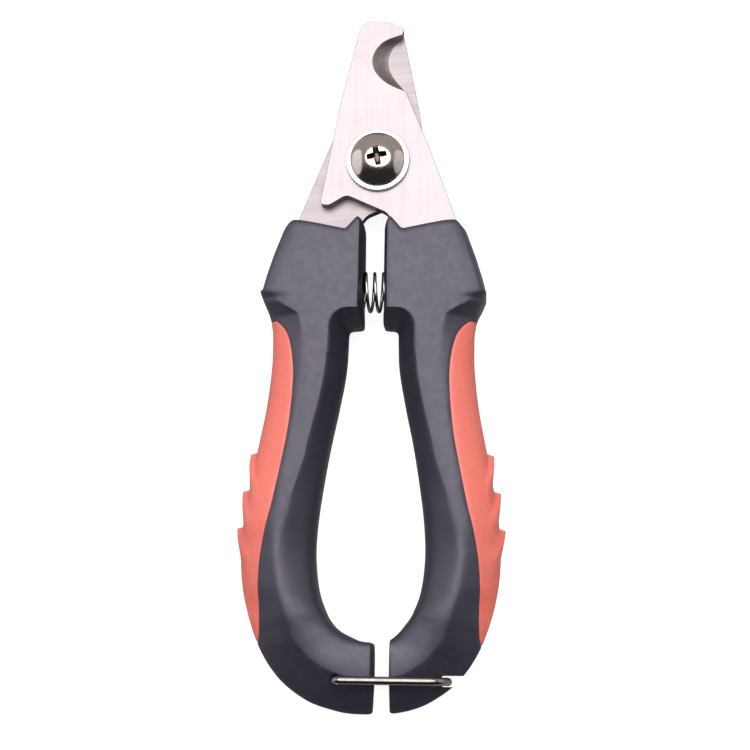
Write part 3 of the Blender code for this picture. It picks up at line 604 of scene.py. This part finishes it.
def seam_distance(xy):
    """Signed distance of each point to the pad's edge, below zero in the pad."""
    edge = [Vector(p) for p in PAD_EDGE]
    smooth = catmull(edge, [1] + [SEAM_STEPS] * (len(edge) - 2))
    line = np.array([tuple(p) for p in smooth])
    a, b = line[:-1], line[1:]
    best = np.full(len(xy), np.inf)
    for start, run in zip(a, b - a):
        t = np.clip(((xy - start) @ run) / (run @ run), 0, 1)
        best = np.minimum(best, np.linalg.norm(xy - (start + t[:, None] * run), axis=1))
    ring = np.vstack([line, [(PAD_REACH, PAD_EDGE[-1][1]), (PAD_REACH, PAD_EDGE[0][1])]])
    inside = np.zeros(len(xy), bool)
    for p, q in zip(ring, np.roll(ring, -1, axis=0)):
        if p[1] == q[1]:
            continue
        crosses = (p[1] > xy[:, 1]) != (q[1] > xy[:, 1])
        at = (q[0] - p[0]) * (xy[:, 1] - p[1]) / (q[1] - p[1]) + p[0]
        inside ^= crosses & (xy[:, 0] < at)
    return np.where(inside, -best, best)


def split_along(bm, layer, level):
    """Cuts the faces along the line where the layer has the given value."""
    for v in bm.verts:
        if abs(v[layer] - level) < SEAM_SNAP:
            v[layer] = level
    crossing = [e for e in bm.edges if (e.verts[0][layer] - level) * (e.verts[1][layer] - level) < 0]
    for e in crossing:
        a, b = e.verts
        share = (level - a[layer]) / (b[layer] - a[layer])
        _, middle = bmesh.utils.edge_split(e, a, share)
        middle[layer] = level
    for face in list(bm.faces):
        marked = [n for n, v in enumerate(face.verts) if v[layer] == level]
        if len(marked) == 2 and 1 < marked[1] - marked[0] < len(face.verts) - 1:
            bmesh.utils.face_split(face, face.verts[marked[0]], face.verts[marked[1]])


def skin_grid(side):
    """Points of half a handle's skin, over the middle plane: one section after another down the handle."""
    rows, places = rib_run(side)
    start = end_rows(rows, places, END_ROUND)
    finish = end_rows(rows[::-1], places[-1] - places[::-1], FOOT_ROUND)
    first, last = END_ROUND * END_CLEAR, places[-1] - FOOT_ROUND * END_CLEAR
    run = [(row, 0.0) for row, place in zip(rows, places) if first < place < last]
    grid = np.array([half_section(row, inset) for row, inset in start + run + finish[::-1]])
    for section in grid:
        if section[:, 1].max() < TOP_OUTLINE_END:
            break
        for point in section:
            point[1] += top_shift(*point[:2])
    return grid


def close_end(bm, layer, edge, turn_over):
    """Faces from an end section down to the middle plane."""
    feet = [edge[0]]
    for v in edge[1:-1]:
        foot = bm.verts.new((v.co.x, v.co.y, 0.0))
        foot[layer] = OFF_SEAM
        feet.append(foot)
    feet.append(edge[-1])
    for n in range(len(edge) - 1):
        corners = list(dict.fromkeys((edge[n], edge[n + 1], feet[n + 1], feet[n])))
        bm.faces.new(corners[::-1] if turn_over else corners)


def sink_seam(bm, layer):
    """Presses a shallow groove into the skin along the pad's edge."""
    bm.normal_update()
    widest = SEAM_LEVELS[-1]
    for v in bm.verts:
        if abs(v[layer]) >= widest:
            continue
        normal = v.normal if v.co.z > TINY else Vector((v.normal.x, v.normal.y, 0)).normalized()
        v.co -= normal * SEAM_DEPTH * (1 - smoothstep(abs(v[layer]) / widest))


def handle_shell(side):
    """Half of a whole handle's skin in a bmesh, with the distance to the pad's edge as a layer."""
    grid = skin_grid(side)
    columns = len(grid[0])
    flat = grid.reshape(-1, 3)
    bm = bmesh.new()
    layer = bm.verts.layers.float.new("seam")
    verts = []
    for point, value in zip(flat, seam_distance(flat[:, :2])):
        v = bm.verts.new(tuple(point))
        v[layer] = value
        verts.append(v)
    last = len(verts) - columns
    for a in range(0, last, columns):
        for n in range(a, a + columns - 1):
            bm.faces.new((verts[n], verts[n + 1], verts[n + 1 + columns], verts[n + columns]))
    close_end(bm, layer, verts[:columns], True)
    close_end(bm, layer, verts[last:], False)
    bmesh.ops.remove_doubles(bm, verts=bm.verts, dist=SKIN_MERGE_DISTANCE)
    bmesh.ops.recalc_face_normals(bm, faces=bm.faces)
    for level in SEAM_LEVELS:
        split_along(bm, layer, level)
    sink_seam(bm, layer)
    return bm, layer


def closed_piece(name, bm, layer, side, in_pad):
    """One piece of the split skin, walled down to the middle plane at the seam and mirrored through it."""
    keep = [f for f in bm.faces if (sum(v[layer] for v in f.verts) < 0) == in_pad]
    numbers, points, faces = {}, [], []

    def number(key, co):
        if key not in numbers:
            numbers[key] = len(points)
            points.append(co)
        return numbers[key]

    for f in keep:
        faces.append([number(v.index, v.co.copy()) for v in f.verts])
    chosen = set(keep)
    for e in bm.edges:
        near = [f for f in e.link_faces if f in chosen]
        if len(near) == 1 and len(e.link_faces) == 2:
            a, b = e.verts
            faces.append([
                number(a.index, a.co.copy()), number(b.index, b.co.copy()),
                number(("foot", b.index), Vector((b.co.x, b.co.y, 0))),
                number(("foot", a.index), Vector((a.co.x, a.co.y, 0))),
            ])
    count = len(points)
    upper = [(side * p.x, p.y, MID_Z + p.z) for p in points]
    lower = [(side * p.x, p.y, MID_Z - p.z) for p in points]
    faces += [[n + count for n in f[::-1]] for f in faces]
    return new_object(name, upper + lower, faces, COVER_SHARP_ANGLE)


def handle(side):
    """The grey cover and the coral pad of one handle."""
    word = "left" if side < 0 else "right"
    bm, layer = handle_shell(side)
    bm.verts.index_update()
    cover = closed_piece(word + "_cover", bm, layer, side, False)
    pad = closed_piece(word + "_pad", bm, layer, side, True)
    bm.free()
    cut(cover, joined([pocket_cutter(side), lock_hole_cutter() if side < 0 else foot_notch_cutter()]))
    tidy_mesh(cover, COVER_SHARP_ANGLE)
    return cover, pad


def joined(cutters):
    """One object from cutters that don't touch each other."""
    bm = bmesh.new()
    for cutter in cutters:
        bm.from_mesh(cutter.data)
    for cutter in cutters[1:]:
        bpy.data.objects.remove(cutter)
    bm.to_mesh(cutters[0].data)
    bm.free()
    return cutters[0]


def handle_core(node, side):
    """The hard core, relieved where the cover's hollow comes down to it."""
    core = add_object(node.name + "_relieved", node.data.copy())
    core.matrix_world = node.matrix_world.copy()
    left, right, low, high = RELIEF
    corners = [(side * x, y) for x, y in ((left, low), (right, low), (right, high), (left, high))]
    for start, end in ((MID_Z + RELIEF_WEB, 2 * MID_Z + OVERCUT), (-OVERCUT, MID_Z - RELIEF_WEB)):
        cut(core, stacked("relief", [(corners, start), (corners, end)]))
    tidy_mesh(core, CUT_SHARP_ANGLE)
    return core


def pocket_cutter(side):
    """The bore in the block's inner side that holds the spring."""
    ring = circle((SPRING_Y, MID_Z), POCKET_RADIUS, BORE_STEPS)
    vertices = [(x, y, z) for x in (side * POCKET_MOUTH, side * POCKET_FLOOR) for y, z in ring]
    return new_object("pocket", vertices, ring_faces(BORE_STEPS, 2))


def lock_hole_cutter():
    """The wire's hole through the left foot, countersunk on both faces."""
    radius = LOCK_WIRE_RADIUS + LOCK_HOLE_CLEARANCE
    bore = circle(LOCK_AXIS, radius, LOCK_HOLE_STEPS)
    sink = circle(LOCK_AXIS, radius + LOCK_SINK_WIDTH, LOCK_HOLE_STEPS)
    half = LEFT_FOOT_RIBS[-1][2]
    low, high = MID_Z - half, MID_Z + half
    return stacked("lock_hole", [
        (sink, low - LOCK_SINK_TOP), (bore, low + LOCK_SINK_DEPTH),
        (bore, high - LOCK_SINK_DEPTH), (sink, high + LOCK_SINK_TOP),
    ])


def foot_notch_cutter():
    """The slot across the right foot's outer side that the closed end of the wire drops into."""
    x = SLOT_FLOOR + SLOT_ROUND
    upper = arc((x, SLOT_HIGH - SLOT_ROUND), SLOT_ROUND, 90, 180, SLOT_CORNER_STEPS)
    lower = arc((x, SLOT_LOW + SLOT_ROUND), SLOT_ROUND, 180, 270, SLOT_CORNER_STEPS)
    outline = [(SLOT_MOUTH, SLOT_LOW), (SLOT_MOUTH, SLOT_HIGH)] + upper + lower
    return stacked("foot_notch", [(outline, -OVERCUT), (outline, 2 * MID_Z + OVERCUT)])


# === blades and their pivot ===

def notch_outline(share, grow):
    """The notch's wall between the cutting edge, share 0, and the outer face's rim, share 1."""
    line = [Vector(edge).lerp(Vector(rim), share) for edge, rim in zip(NOTCH_EDGE, NOTCH_RIM)]
    wall = [tuple(p) for p in catmull(line, [NOTCH_STEPS] * (len(line) - 1))]
    closed = wall + [(NOTCH_MOUTH, wall[-1][1]), (NOTCH_MOUTH, wall[0][1])]
    return grown(closed, grow) if grow else closed


def notch_cutter(side, cutting_face):
    """The notch's hollow, from below the cutting face to above the rim on the outer face."""
    levels = [(-NOTCH_OVERCUT, 0.0, 0.0)]
    for k in range(NOTCH_LEVELS):
        levels.append((BLADE_THICKNESS * k / NOTCH_LEVELS, (k / NOTCH_LEVELS) ** NOTCH_HOLLOW, 0.0))
    levels.append((BLADE_THICKNESS - NOTCH_RIM_DEPTH, 1.0, 0.0))
    levels.append((BLADE_THICKNESS + NOTCH_OVERCUT, 1.0, NOTCH_RIM_SIZE))
    return stacked("notch", [
        (on_blade(notch_outline(share, grow), side), cutting_face + side * height) for height, share, grow in levels
    ])


def blade(name, side):
    """A chamfered plate with a hollow-ground claw notch and the pivot's hole; its upright sides are painted near
    black as shade.
    """
    cutting_face = MID_Z + side * BLADE_GAP / 2
    outline = on_blade(rounded(BLADE_CORNERS, BLADE_CORNER_STEPS), side)
    inner = grown(outline, -BLADE_CHAMFER)
    heights = (0.0, BLADE_CHAMFER, BLADE_THICKNESS - BLADE_CHAMFER, BLADE_THICKNESS)
    levels = [(points, cutting_face + side * h) for points, h in zip((inner, outline, outline, inner), heights)]
    made = stacked(name, levels)
    cut(made, notch_cutter(side, cutting_face))
    hole = circle(PIVOT, SLEEVE_RADIUS + RUNNING_CLEARANCE, BLADE_HOLE_STEPS)
    cut(made, stacked("hole", [(hole, MID_Z - BLADE_HOLE_OVERCUT), (hole, MID_Z + BLADE_HOLE_OVERCUT)]))
    tidy_mesh(made, CUT_SHARP_ANGLE)
    centre = Vector(on_blade([NOTCH_CENTRE], side)[0])
    # Faces of the notch's ground wall take the second finish; the upright sides take the third, near black: painted
    # shade on the blade's sides.
    for face in made.data.polygons:
        upright = abs(face.normal.z)
        if upright < GROUND_TILT and (Vector(face.center[:2]) / MM - centre).length < NOTCH_REACH:
            face.material_index = 1
        elif upright < SHEARED_TILT:
            face.material_index = 2
    return made


def cross_cutter(top, crossways):
    """One slot of the cross recess, narrowing with its depth."""
    c, s = cos(CROSS_TURN), sin(CROSS_TURN)
    levels = []
    for depth, long, wide in CROSS_LEVELS:
        a, b = (wide, long) if crossways else (long, wide)
        corners = [(x, y, CROSS_CORNER) for x, y in ((a, b), (-a, b), (-a, -b), (a, -b))]
        placed = [
            (PIVOT[0] + x * c - y * s, PIVOT[1] + x * s + y * c) for x, y in rounded(corners, SMALL_CORNER_STEPS)
        ]
        levels.append((placed, top - depth))
    return stacked("cross", levels)


def screw():
    """A domed head with a recessed cross, on its shank; the inside of the recess is painted dark as shade."""
    low = BLADE_TOP + GAP + WASHER_THICKNESS + GAP
    top = low + HEAD_HEIGHT
    dome = HEAD_HEIGHT - HEAD_RIM
    radius = (HEAD_RADIUS ** 2 + dome ** 2) / (2 * dome)
    centre = top - radius
    dome_end = 90 - degrees(asin(HEAD_RADIUS / radius)) * DOME_SHARE
    profile = [(AXIS_RADIUS, top)] + arc((0, centre), radius, 90, dome_end, DOME_STEPS)[1:] + [
        (HEAD_RADIUS, low + HEAD_RIM - HEAD_RIM_ROUND), (HEAD_RADIUS, low + HEAD_FOOT_ROUND),
        (HEAD_RADIUS - HEAD_FOOT_ROUND, low), (SHANK_RADIUS, low), (SHANK_RADIUS, SHANK_CHAMFER_TOP),
        (SHANK_RADIUS - SHANK_CHAMFER, SHANK_END), (AXIS_RADIUS, SHANK_END),
    ]
    made = turned("screw", profile)
    cut(made, cross_cutter(top, False))
    cut(made, cross_cutter(top, True))
    tidy_mesh(made, SCREW_SHARP_ANGLE)
    # Faces inside the cross recess take the second, dark brown finish: painted shade in the recess.
    for face in made.data.polygons:
        place = Vector(face.center) / MM
        out = (Vector(place[:2]) - Vector(PIVOT)).length
        under = radius - (place - Vector((*PIVOT, centre))).length
        if place.z > low + CROSS_FLOOR and out < CROSS_REACH and under > CROSS_SKIN:
            face.material_index = 1
    return made


def washer():
    """A flat ring with rounded outer corners."""
    low = BLADE_TOP + GAP
    high = low + WASHER_THICKNESS
    centre = (WASHER_RADIUS - WASHER_ROUND, high - WASHER_ROUND)
    top = arc(centre, WASHER_ROUND, 90, 0, WASHER_ROUND_STEPS)
    bottom = [(r, low + high - z) for r, z in top[::-1]]
    made = turned("polished_washer", top + bottom + [(SHANK_RADIUS + GAP, low), (SHANK_RADIUS + GAP, high)])
    return made


# === spring and lock wire ===

def return_spring():
    """A compression spring across the gap with a closed turn at each end."""
    half_length = SPRING_END - GAP - SPRING_WIRE
    closed = 2 * SPRING_WIRE + CLOSED_TURN_GAP
    active = round(2 * (half_length - closed) / SPRING_PITCH)
    turns = active + 2
    steps = turns * SPRING_TURN_STEPS
    ends = (-half_length, closed - half_length, half_length - closed, half_length)
    xs = np.interp(np.linspace(0, turns, steps + 1), (0, 1, turns - 1, turns), ends)
    coil = arc((SPRING_Y, MID_Z), SPRING_RADIUS, 0, 360 * turns, steps)
    made = tube("spring", [(x, y, z) for x, (y, z) in zip(xs, coil)], SPRING_WIRE, SPRING_SIDES)
    return made


def lock_wire():
    """A wire bail: two pins in the left foot, a leg along each face and a closed end round the right foot."""
    x0, y0 = LOCK_AXIS
    end, leg = x0 + LOCK_REACH, LOCK_LEG_Z
    low, high, pin = x0 + PIN_BEND, end - LOCK_END_BEND, leg - PIN_BEND
    run = [(x0, PIN_TIP + (pin - PIN_TIP) * k / PIN_STEPS) for k in range(PIN_STEPS)]
    run += arc((low, pin), PIN_BEND, 180, 90, PIN_BEND_STEPS)
    run += [(low + (high - low) * k / LEG_STEPS, leg) for k in range(1, LEG_STEPS)]
    run += arc((high, leg - LOCK_END_BEND), LOCK_END_BEND, 90, 0, END_BEND_STEPS)
    path = run + [(x, -z) for x, z in reversed(run)]
    made = tube("wire", [(x, y0, MID_Z + z) for x, z in path], LOCK_WIRE_RADIUS, WIRE_SIDES)
    return made


# === materials ===

# Sizes of the noise patterns, in cycles per metre
GRAIN, MOTTLE, RUBBED = 5200, 620, 55
LINES_LENGTHWAYS = 55
BANDS_ACROSS, BANDS_LENGTHWAYS = 6, 3  # the bands are this much wider and longer than the lines
CLOUD, HAZE, FLECK, FLOOR_GRAIN = 120, 900, 3600, 90
LINE_BUMP = 0.22
BAND_BUMP = 0.132
STREAK = 0.5  # how far a line or a band takes the colour to the darker one
WHITE = (1.0, 1.0, 1.0)


def add_node(tree, kind, inputs=None, **settings):
    """A new node; each of its inputs is a plain value or another node's output."""
    made = tree.nodes.new(kind)
    for key, value in settings.items():
        setattr(made, key, value)
    for socket, value in (inputs or {}).items():
        if isinstance(value, bpy.types.NodeSocket):
            tree.links.new(value, made.inputs[socket])
        else:
            made.inputs[socket].default_value = value
    return made


class Look:
    """A node material being put together."""

    def __init__(self, name, metallic=0.0, specular=0.5):
        self.material = bpy.data.materials.new(name)
        self.material.use_nodes = True
        self.tree = self.material.node_tree
        self.shader = self.tree.nodes["Principled BSDF"]
        self.shader.inputs["Metallic"].default_value = metallic
        self.shader.inputs["Specular IOR Level"].default_value = specular
        self.coordinates = add_node(self.tree, "ShaderNodeTexCoord").outputs["Object"]

    def node(self, kind, inputs, **settings):
        return add_node(self.tree, kind, inputs, **settings)

    def noise(self, scale, detail, roughness, turn=0.0):
        """Noise over object coordinates, turned about Z and then scaled by one number or three."""
        sizes = scale if isinstance(scale, tuple) else (scale,) * 3
        turned_by = self.node("ShaderNodeMapping", {"Vector": self.coordinates, "Rotation": (0, 0, turn)})
        scaled = self.node("ShaderNodeMapping", {"Vector": turned_by.outputs[0], "Scale": sizes})
        inputs = {"Vector": scaled.outputs[0], "Scale": 1.0, "Detail": detail, "Roughness": roughness}
        return self.node("ShaderNodeTexNoise", inputs).outputs["Fac"]

    def ranged(self, value, low, high, to_low, to_high):
        inputs = {"Value": value, "From Min": low, "From Max": high, "To Min": to_low, "To Max": to_high}
        return self.node("ShaderNodeMapRange", inputs).outputs["Result"]

    def mix(self, factor, colour, other, kind="MIX"):
        """Blends two colours, each a plain one or another node's output."""
        colour, other = ((*c, 1) if isinstance(c, tuple) else c for c in (colour, other))
        inputs = {0: factor, 6: colour, 7: other}
        return self.node("ShaderNodeMix", inputs, data_type="RGBA", blend_type=kind).outputs[2]

    def multiply(self, value, other):
        return self.node("ShaderNodeMath", {0: value, 1: other}, operation="MULTIPLY").outputs[0]

    def bump(self, heights):
        """Bumps laid over each other, as (value, strength, depth in metres)."""
        below = {}
        for value, strength, depth in heights:
            inputs = {"Height": value, "Strength": strength, "Distance": depth, **below}
            below = {"Normal": self.node("ShaderNodeBump", inputs).outputs["Normal"]}
        self.tree.links.new(below["Normal"], self.shader.inputs["Normal"])

    def finish(self, colour, roughness):
        self.tree.links.new(colour, self.shader.inputs["Base Color"])
        self.tree.links.new(roughness, self.shader.inputs["Roughness"])
        return self.material


def moulded(name, colour, darker, lighter, rough, grain, specular, tint=WHITE):
    """Soft-touch moulded rubber: fine matt grain, faint mottling and a few rubbed places."""
    look = Look(name, specular=specular)
    look.shader.inputs["Specular Tint"].default_value = (*tint, 1)
    fine = look.noise(GRAIN, 2.0, 0.6)
    mottle = look.noise(MOTTLE, 3.0, 0.55)
    wide = look.noise(RUBBED, 2.0, 0.5)
    tone = look.mix(look.ranged(mottle, 0.3, 0.7, 0.0, 1.0), darker, colour)
    rubbed = look.mix(look.ranged(wide, 0.45, 0.75, 0.0, 0.5), tone, lighter)
    speckled = look.mix(1.0, rubbed, look.ranged(fine, 0.3, 0.7, 0.88, 1.1), "MULTIPLY")
    look.bump([(wide, 0.012, 0.0004), (mottle, 0.03 * grain, 0.00008), (fine, 0.3 * grain, 0.00003)])
    return look.finish(speckled, look.ranged(mottle, 0.3, 0.7, rough - 0.05, rough + 0.06))


def brushed(name, colour, other, rough, degrees, across=5200.0):
    """Ground steel: fine parallel lines, wider faint bands and a slight cloudiness."""
    look = Look(name, metallic=1.0)
    turn = radians(degrees)
    lines = look.noise((across, LINES_LENGTHWAYS, across), 3.0, 0.65, turn)
    wide, long = across / BANDS_ACROSS, LINES_LENGTHWAYS / BANDS_LENGTHWAYS
    bands = look.noise((wide, long, wide), 2.0, 0.6, turn)
    cloud = look.noise(CLOUD, 3.0, 0.5)
    lines_tone = look.ranged(lines, 0.25, 0.75, 1 - STREAK, 1.0)
    mixed = look.multiply(lines_tone, look.ranged(bands, 0.3, 0.7, 1 - STREAK, 1.0))
    look.bump([(bands, BAND_BUMP, 0.00006), (lines, LINE_BUMP, 0.00002)])
    rough_out = look.ranged(look.multiply(lines, cloud), 0.1, 0.4, rough - 0.06, rough + 0.08)
    return look.finish(look.mix(mixed, other, colour), rough_out)


def plated(name, colour, other, rough):
    """Bright plating with faint polishing haze and a few darker flecks."""
    look = Look(name, metallic=1.0)
    haze = look.noise(HAZE, 4.0, 0.6)
    fleck = look.noise(FLECK, 2.0, 0.7)
    look.bump([(haze, 0.05, 0.00005), (fleck, 0.04, 0.00002)])
    tone = look.mix(look.ranged(haze, 0.35, 0.7, 0.0, 1.0), colour, other)
    return look.finish(tone, look.ranged(look.multiply(haze, fleck), 0.12, 0.4, rough, rough + 0.09))


def floor_look():
    look = Look("floor_look", specular=0.2)
    grain = look.noise(FLOOR_GRAIN, 3.0, 0.5)
    camera_ray = add_node(look.tree, "ShaderNodeLightPath").outputs["Is Camera Ray"]
    look.shader.inputs["Emission Color"].default_value = (*WHITE, 1)
    look.tree.links.new(look.ranged(camera_ray, 0, 1, 0, FLOOR_LIFT), look.shader.inputs["Emission Strength"])
    return look.finish(look.mix(grain, FLOOR_COLOUR, FLOOR_DARKER), look.ranged(grain, 0.3, 0.7, 0.85, 0.95))


def paint(obj, *materials):
    """Gives the object its materials and keeps which face has which."""
    numbers = [face.material_index for face in obj.data.polygons]
    obj.data.materials.clear()
    for material in materials:
        obj.data.materials.append(material)
    obj.data.polygons.foreach_set("material_index", [min(n, len(materials) - 1) for n in numbers])


# === light, floor and camera; metres ===

FLOOR_COLOUR = (0.36, 0.356, 0.36)
FLOOR_DARKER = (0.3546, 0.35066, 0.3546)
FLOOR_SIZE = 6.0
FLOOR_DROP = 0.0001  # it lies this far below the tool
FLOOR_LIFT = 0.88  # the backdrop is lit a little more than the tool, as a white sweep is
# The surroundings run from dark towards the handles to light beyond the blades: (place from 0 to 1, colour)
SURROUNDINGS = [(0.30, (0.035, 0.035, 0.037, 1)), (0.85, (0.50, 0.47, 0.455, 1))]
BACKDROP = (0.86, 0.86, 0.87, 1)
# Soft lights: name, place, aim, size, power in watts
LIGHTS = [
    ("overhead", (0.0, 0.18, 0.62), (0, 0.04, 0), (1.0, 0.8), 6.6),
    ("left_fill", (-0.66, 0.08, 0.2), (0, 0, 0), (0.85, 0.6), 1.15),
    ("right_fill", (0.66, 0.08, 0.2), (0, 0, 0), (0.85, 0.6), 0.7),
]


def floor():
    mesh = bpy.data.meshes.new("floor")
    half = FLOOR_SIZE / 2
    mesh.from_pydata([(-half, -half, 0), (half, -half, 0), (half, half, 0), (-half, half, 0)], [], [(0, 1, 2, 3)])
    sweep = add_object("floor", mesh)
    sweep.location.z = -FLOOR_DROP
    paint(sweep, floor_look())


def surroundings():
    """A dim studio round the tool, shown to the camera as a plain pale backdrop."""
    world = bpy.data.worlds.new("studio")
    world.use_nodes = True
    bpy.context.scene.world = world
    tree = world.node_tree
    across = add_node(tree, "ShaderNodeTexCoord").outputs["Generated"]
    split = add_node(tree, "ShaderNodeSeparateXYZ", {0: across})
    around = add_node(tree, "ShaderNodeMapRange", {"Value": split.outputs["Y"], "From Min": -1.0})
    ramp = add_node(tree, "ShaderNodeValToRGB", {0: around.outputs["Result"]})
    for element, (share, colour) in zip(ramp.color_ramp.elements, SURROUNDINGS):
        element.position = share
        element.color = colour
    camera_ray = add_node(tree, "ShaderNodeLightPath").outputs["Is Camera Ray"]
    inputs = {0: camera_ray, 6: ramp.outputs["Color"], 7: BACKDROP}
    shown = add_node(tree, "ShaderNodeMix", inputs, data_type="RGBA")
    tree.links.new(shown.outputs[2], tree.nodes["Background"].inputs["Color"])


def area_light(name, place, aim, size, power):
    light = bpy.data.lights.new(name, "AREA")
    light.shape = "ELLIPSE"
    light.size, light.size_y = size
    light.energy = power
    obj = add_object(name, light)
    obj.location = place
    obj.rotation_mode = "QUATERNION"
    obj.rotation_quaternion = (Vector(aim) - Vector(place)).to_track_quat("-Z", "Y")


def camera():
    data = bpy.data.cameras.new("camera")
    data.lens = CAMERA_LENS
    data.sensor_width = CAMERA_SENSOR
    data.clip_start, data.clip_end = CAMERA_CLIP
    obj = add_object("camera", data)
    back = (Vector(CAMERA_AT) - Vector(CAMERA_AIM)).normalized()
    right = Vector((-sin(CAMERA_ROLL), cos(CAMERA_ROLL), 0)).cross(back).normalized()
    turn = Matrix((right, back.cross(right), back)).transposed()
    obj.matrix_world = Matrix.Translation(CAMERA_AT) @ turn.to_4x4()
    bpy.context.scene.camera = obj


# === the whole tool ===

def hang(made, body, node, *materials):
    """Paints a piece, hangs it on its body and lets it stand for its CAD node."""
    paint(made, *materials)
    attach(made, body)
    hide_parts(node)


def handles(nodes):
    grey = moulded(
        "soft_touch_grey", (0.0175, 0.0185, 0.031), (0.0150, 0.0160, 0.0265), (0.0215, 0.0225, 0.037),
        rough=0.47, grain=1.4, specular=0.88, tint=(0.94, 0.88, 1.0),
    )
    coral = moulded(
        "soft_touch_coral", (0.73, 0.157, 0.118), (0.69, 0.141, 0.105), (0.77, 0.178, 0.134),
        rough=0.44, grain=0.7, specular=0.55,
    )
    plastic = moulded(
        "hard_core_plastic", (0.05, 0.05, 0.06), (0.045, 0.045, 0.055), (0.06, 0.06, 0.07),
        rough=0.42, grain=0.6, specular=0.4,
    )
    for side, word in ((-1, "left"), (1, "right")):
        cover, pad = handle(side)
        hang(cover, word + "_half", word + "_handle_cover", grey)
        hang(pad, word + "_half", word + "_grip_pad", coral)
        core = word + "_handle_core"
        hang(handle_core(nodes[core], side), word + "_half", core, plastic)


def blades():
    front = brushed("front_blade_steel", (0.343, 0.305, 0.311), (0.273, 0.242, 0.248), 0.34, 0)
    rear = brushed("rear_blade_steel", (0.298, 0.264, 0.270), (0.170, 0.150, 0.154), 0.33, 84, 9000.0)
    bevel = brushed("hollow_ground_steel", (0.42, 0.378, 0.372), (0.17, 0.153, 0.150), 0.55, 75, 7000.0)
    # Near-black steel for the blades' upright sides: painted shade.
    sheared_edge_shade = brushed("sheared_edge_painted_shade", (0.09, 0.085, 0.085), (0.05, 0.045, 0.045), 0.4, 0)
    for name, side, steel, body in (("rear_blade", -1, rear, "left_half"), ("front_blade", 1, front, "right_half")):
        hang(blade(name + "_ground", side), body, name, steel, bevel, sheared_edge_shade)


def hardware(nodes):
    screw_nickel = plated("screw_nickel", (0.60, 0.54, 0.50), (0.52, 0.47, 0.43), 0.09)
    # Dark brown plating for the inside of the cross recess: painted shade.
    recess = plated("screw_recess_painted_shade", (0.16, 0.115, 0.085), (0.08, 0.055, 0.04), 0.3)
    washer_nickel = plated("washer_nickel", (0.62, 0.60, 0.605), (0.56, 0.54, 0.545), 0.18)
    wire_nickel = plated("wire_nickel", (0.30, 0.272, 0.255), (0.22, 0.20, 0.188), 0.13)
    spring_steel = plated("spring_steel", (0.52, 0.48, 0.45), (0.42, 0.385, 0.36), 0.16)
    zinc = plated("zinc_plate", (0.56, 0.57, 0.58), (0.48, 0.49, 0.51), 0.28)
    hang(screw(), "left_half", "pivot_screw", screw_nickel, recess)
    hang(washer(), "left_half", "front_washer", washer_nickel)
    for name in ("pivot_sleeve", "rear_washer", "lock_nut"):
        paint(nodes[name], zinc)
    hang(lock_wire(), "lock", "lock_wire", wire_nickel)
    spring = return_spring()
    paint(spring, spring_steel)
    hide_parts("return_spring")
    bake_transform(spring)


def main():
    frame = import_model()
    nodes = frame["nodes"]
    camera()
    floor()
    surroundings()
    for light in LIGHTS:
        area_light(*light)
    bpy.context.scene.view_settings.view_transform = "Standard"
    handles(nodes)
    blades()
    hardware(nodes)


main()
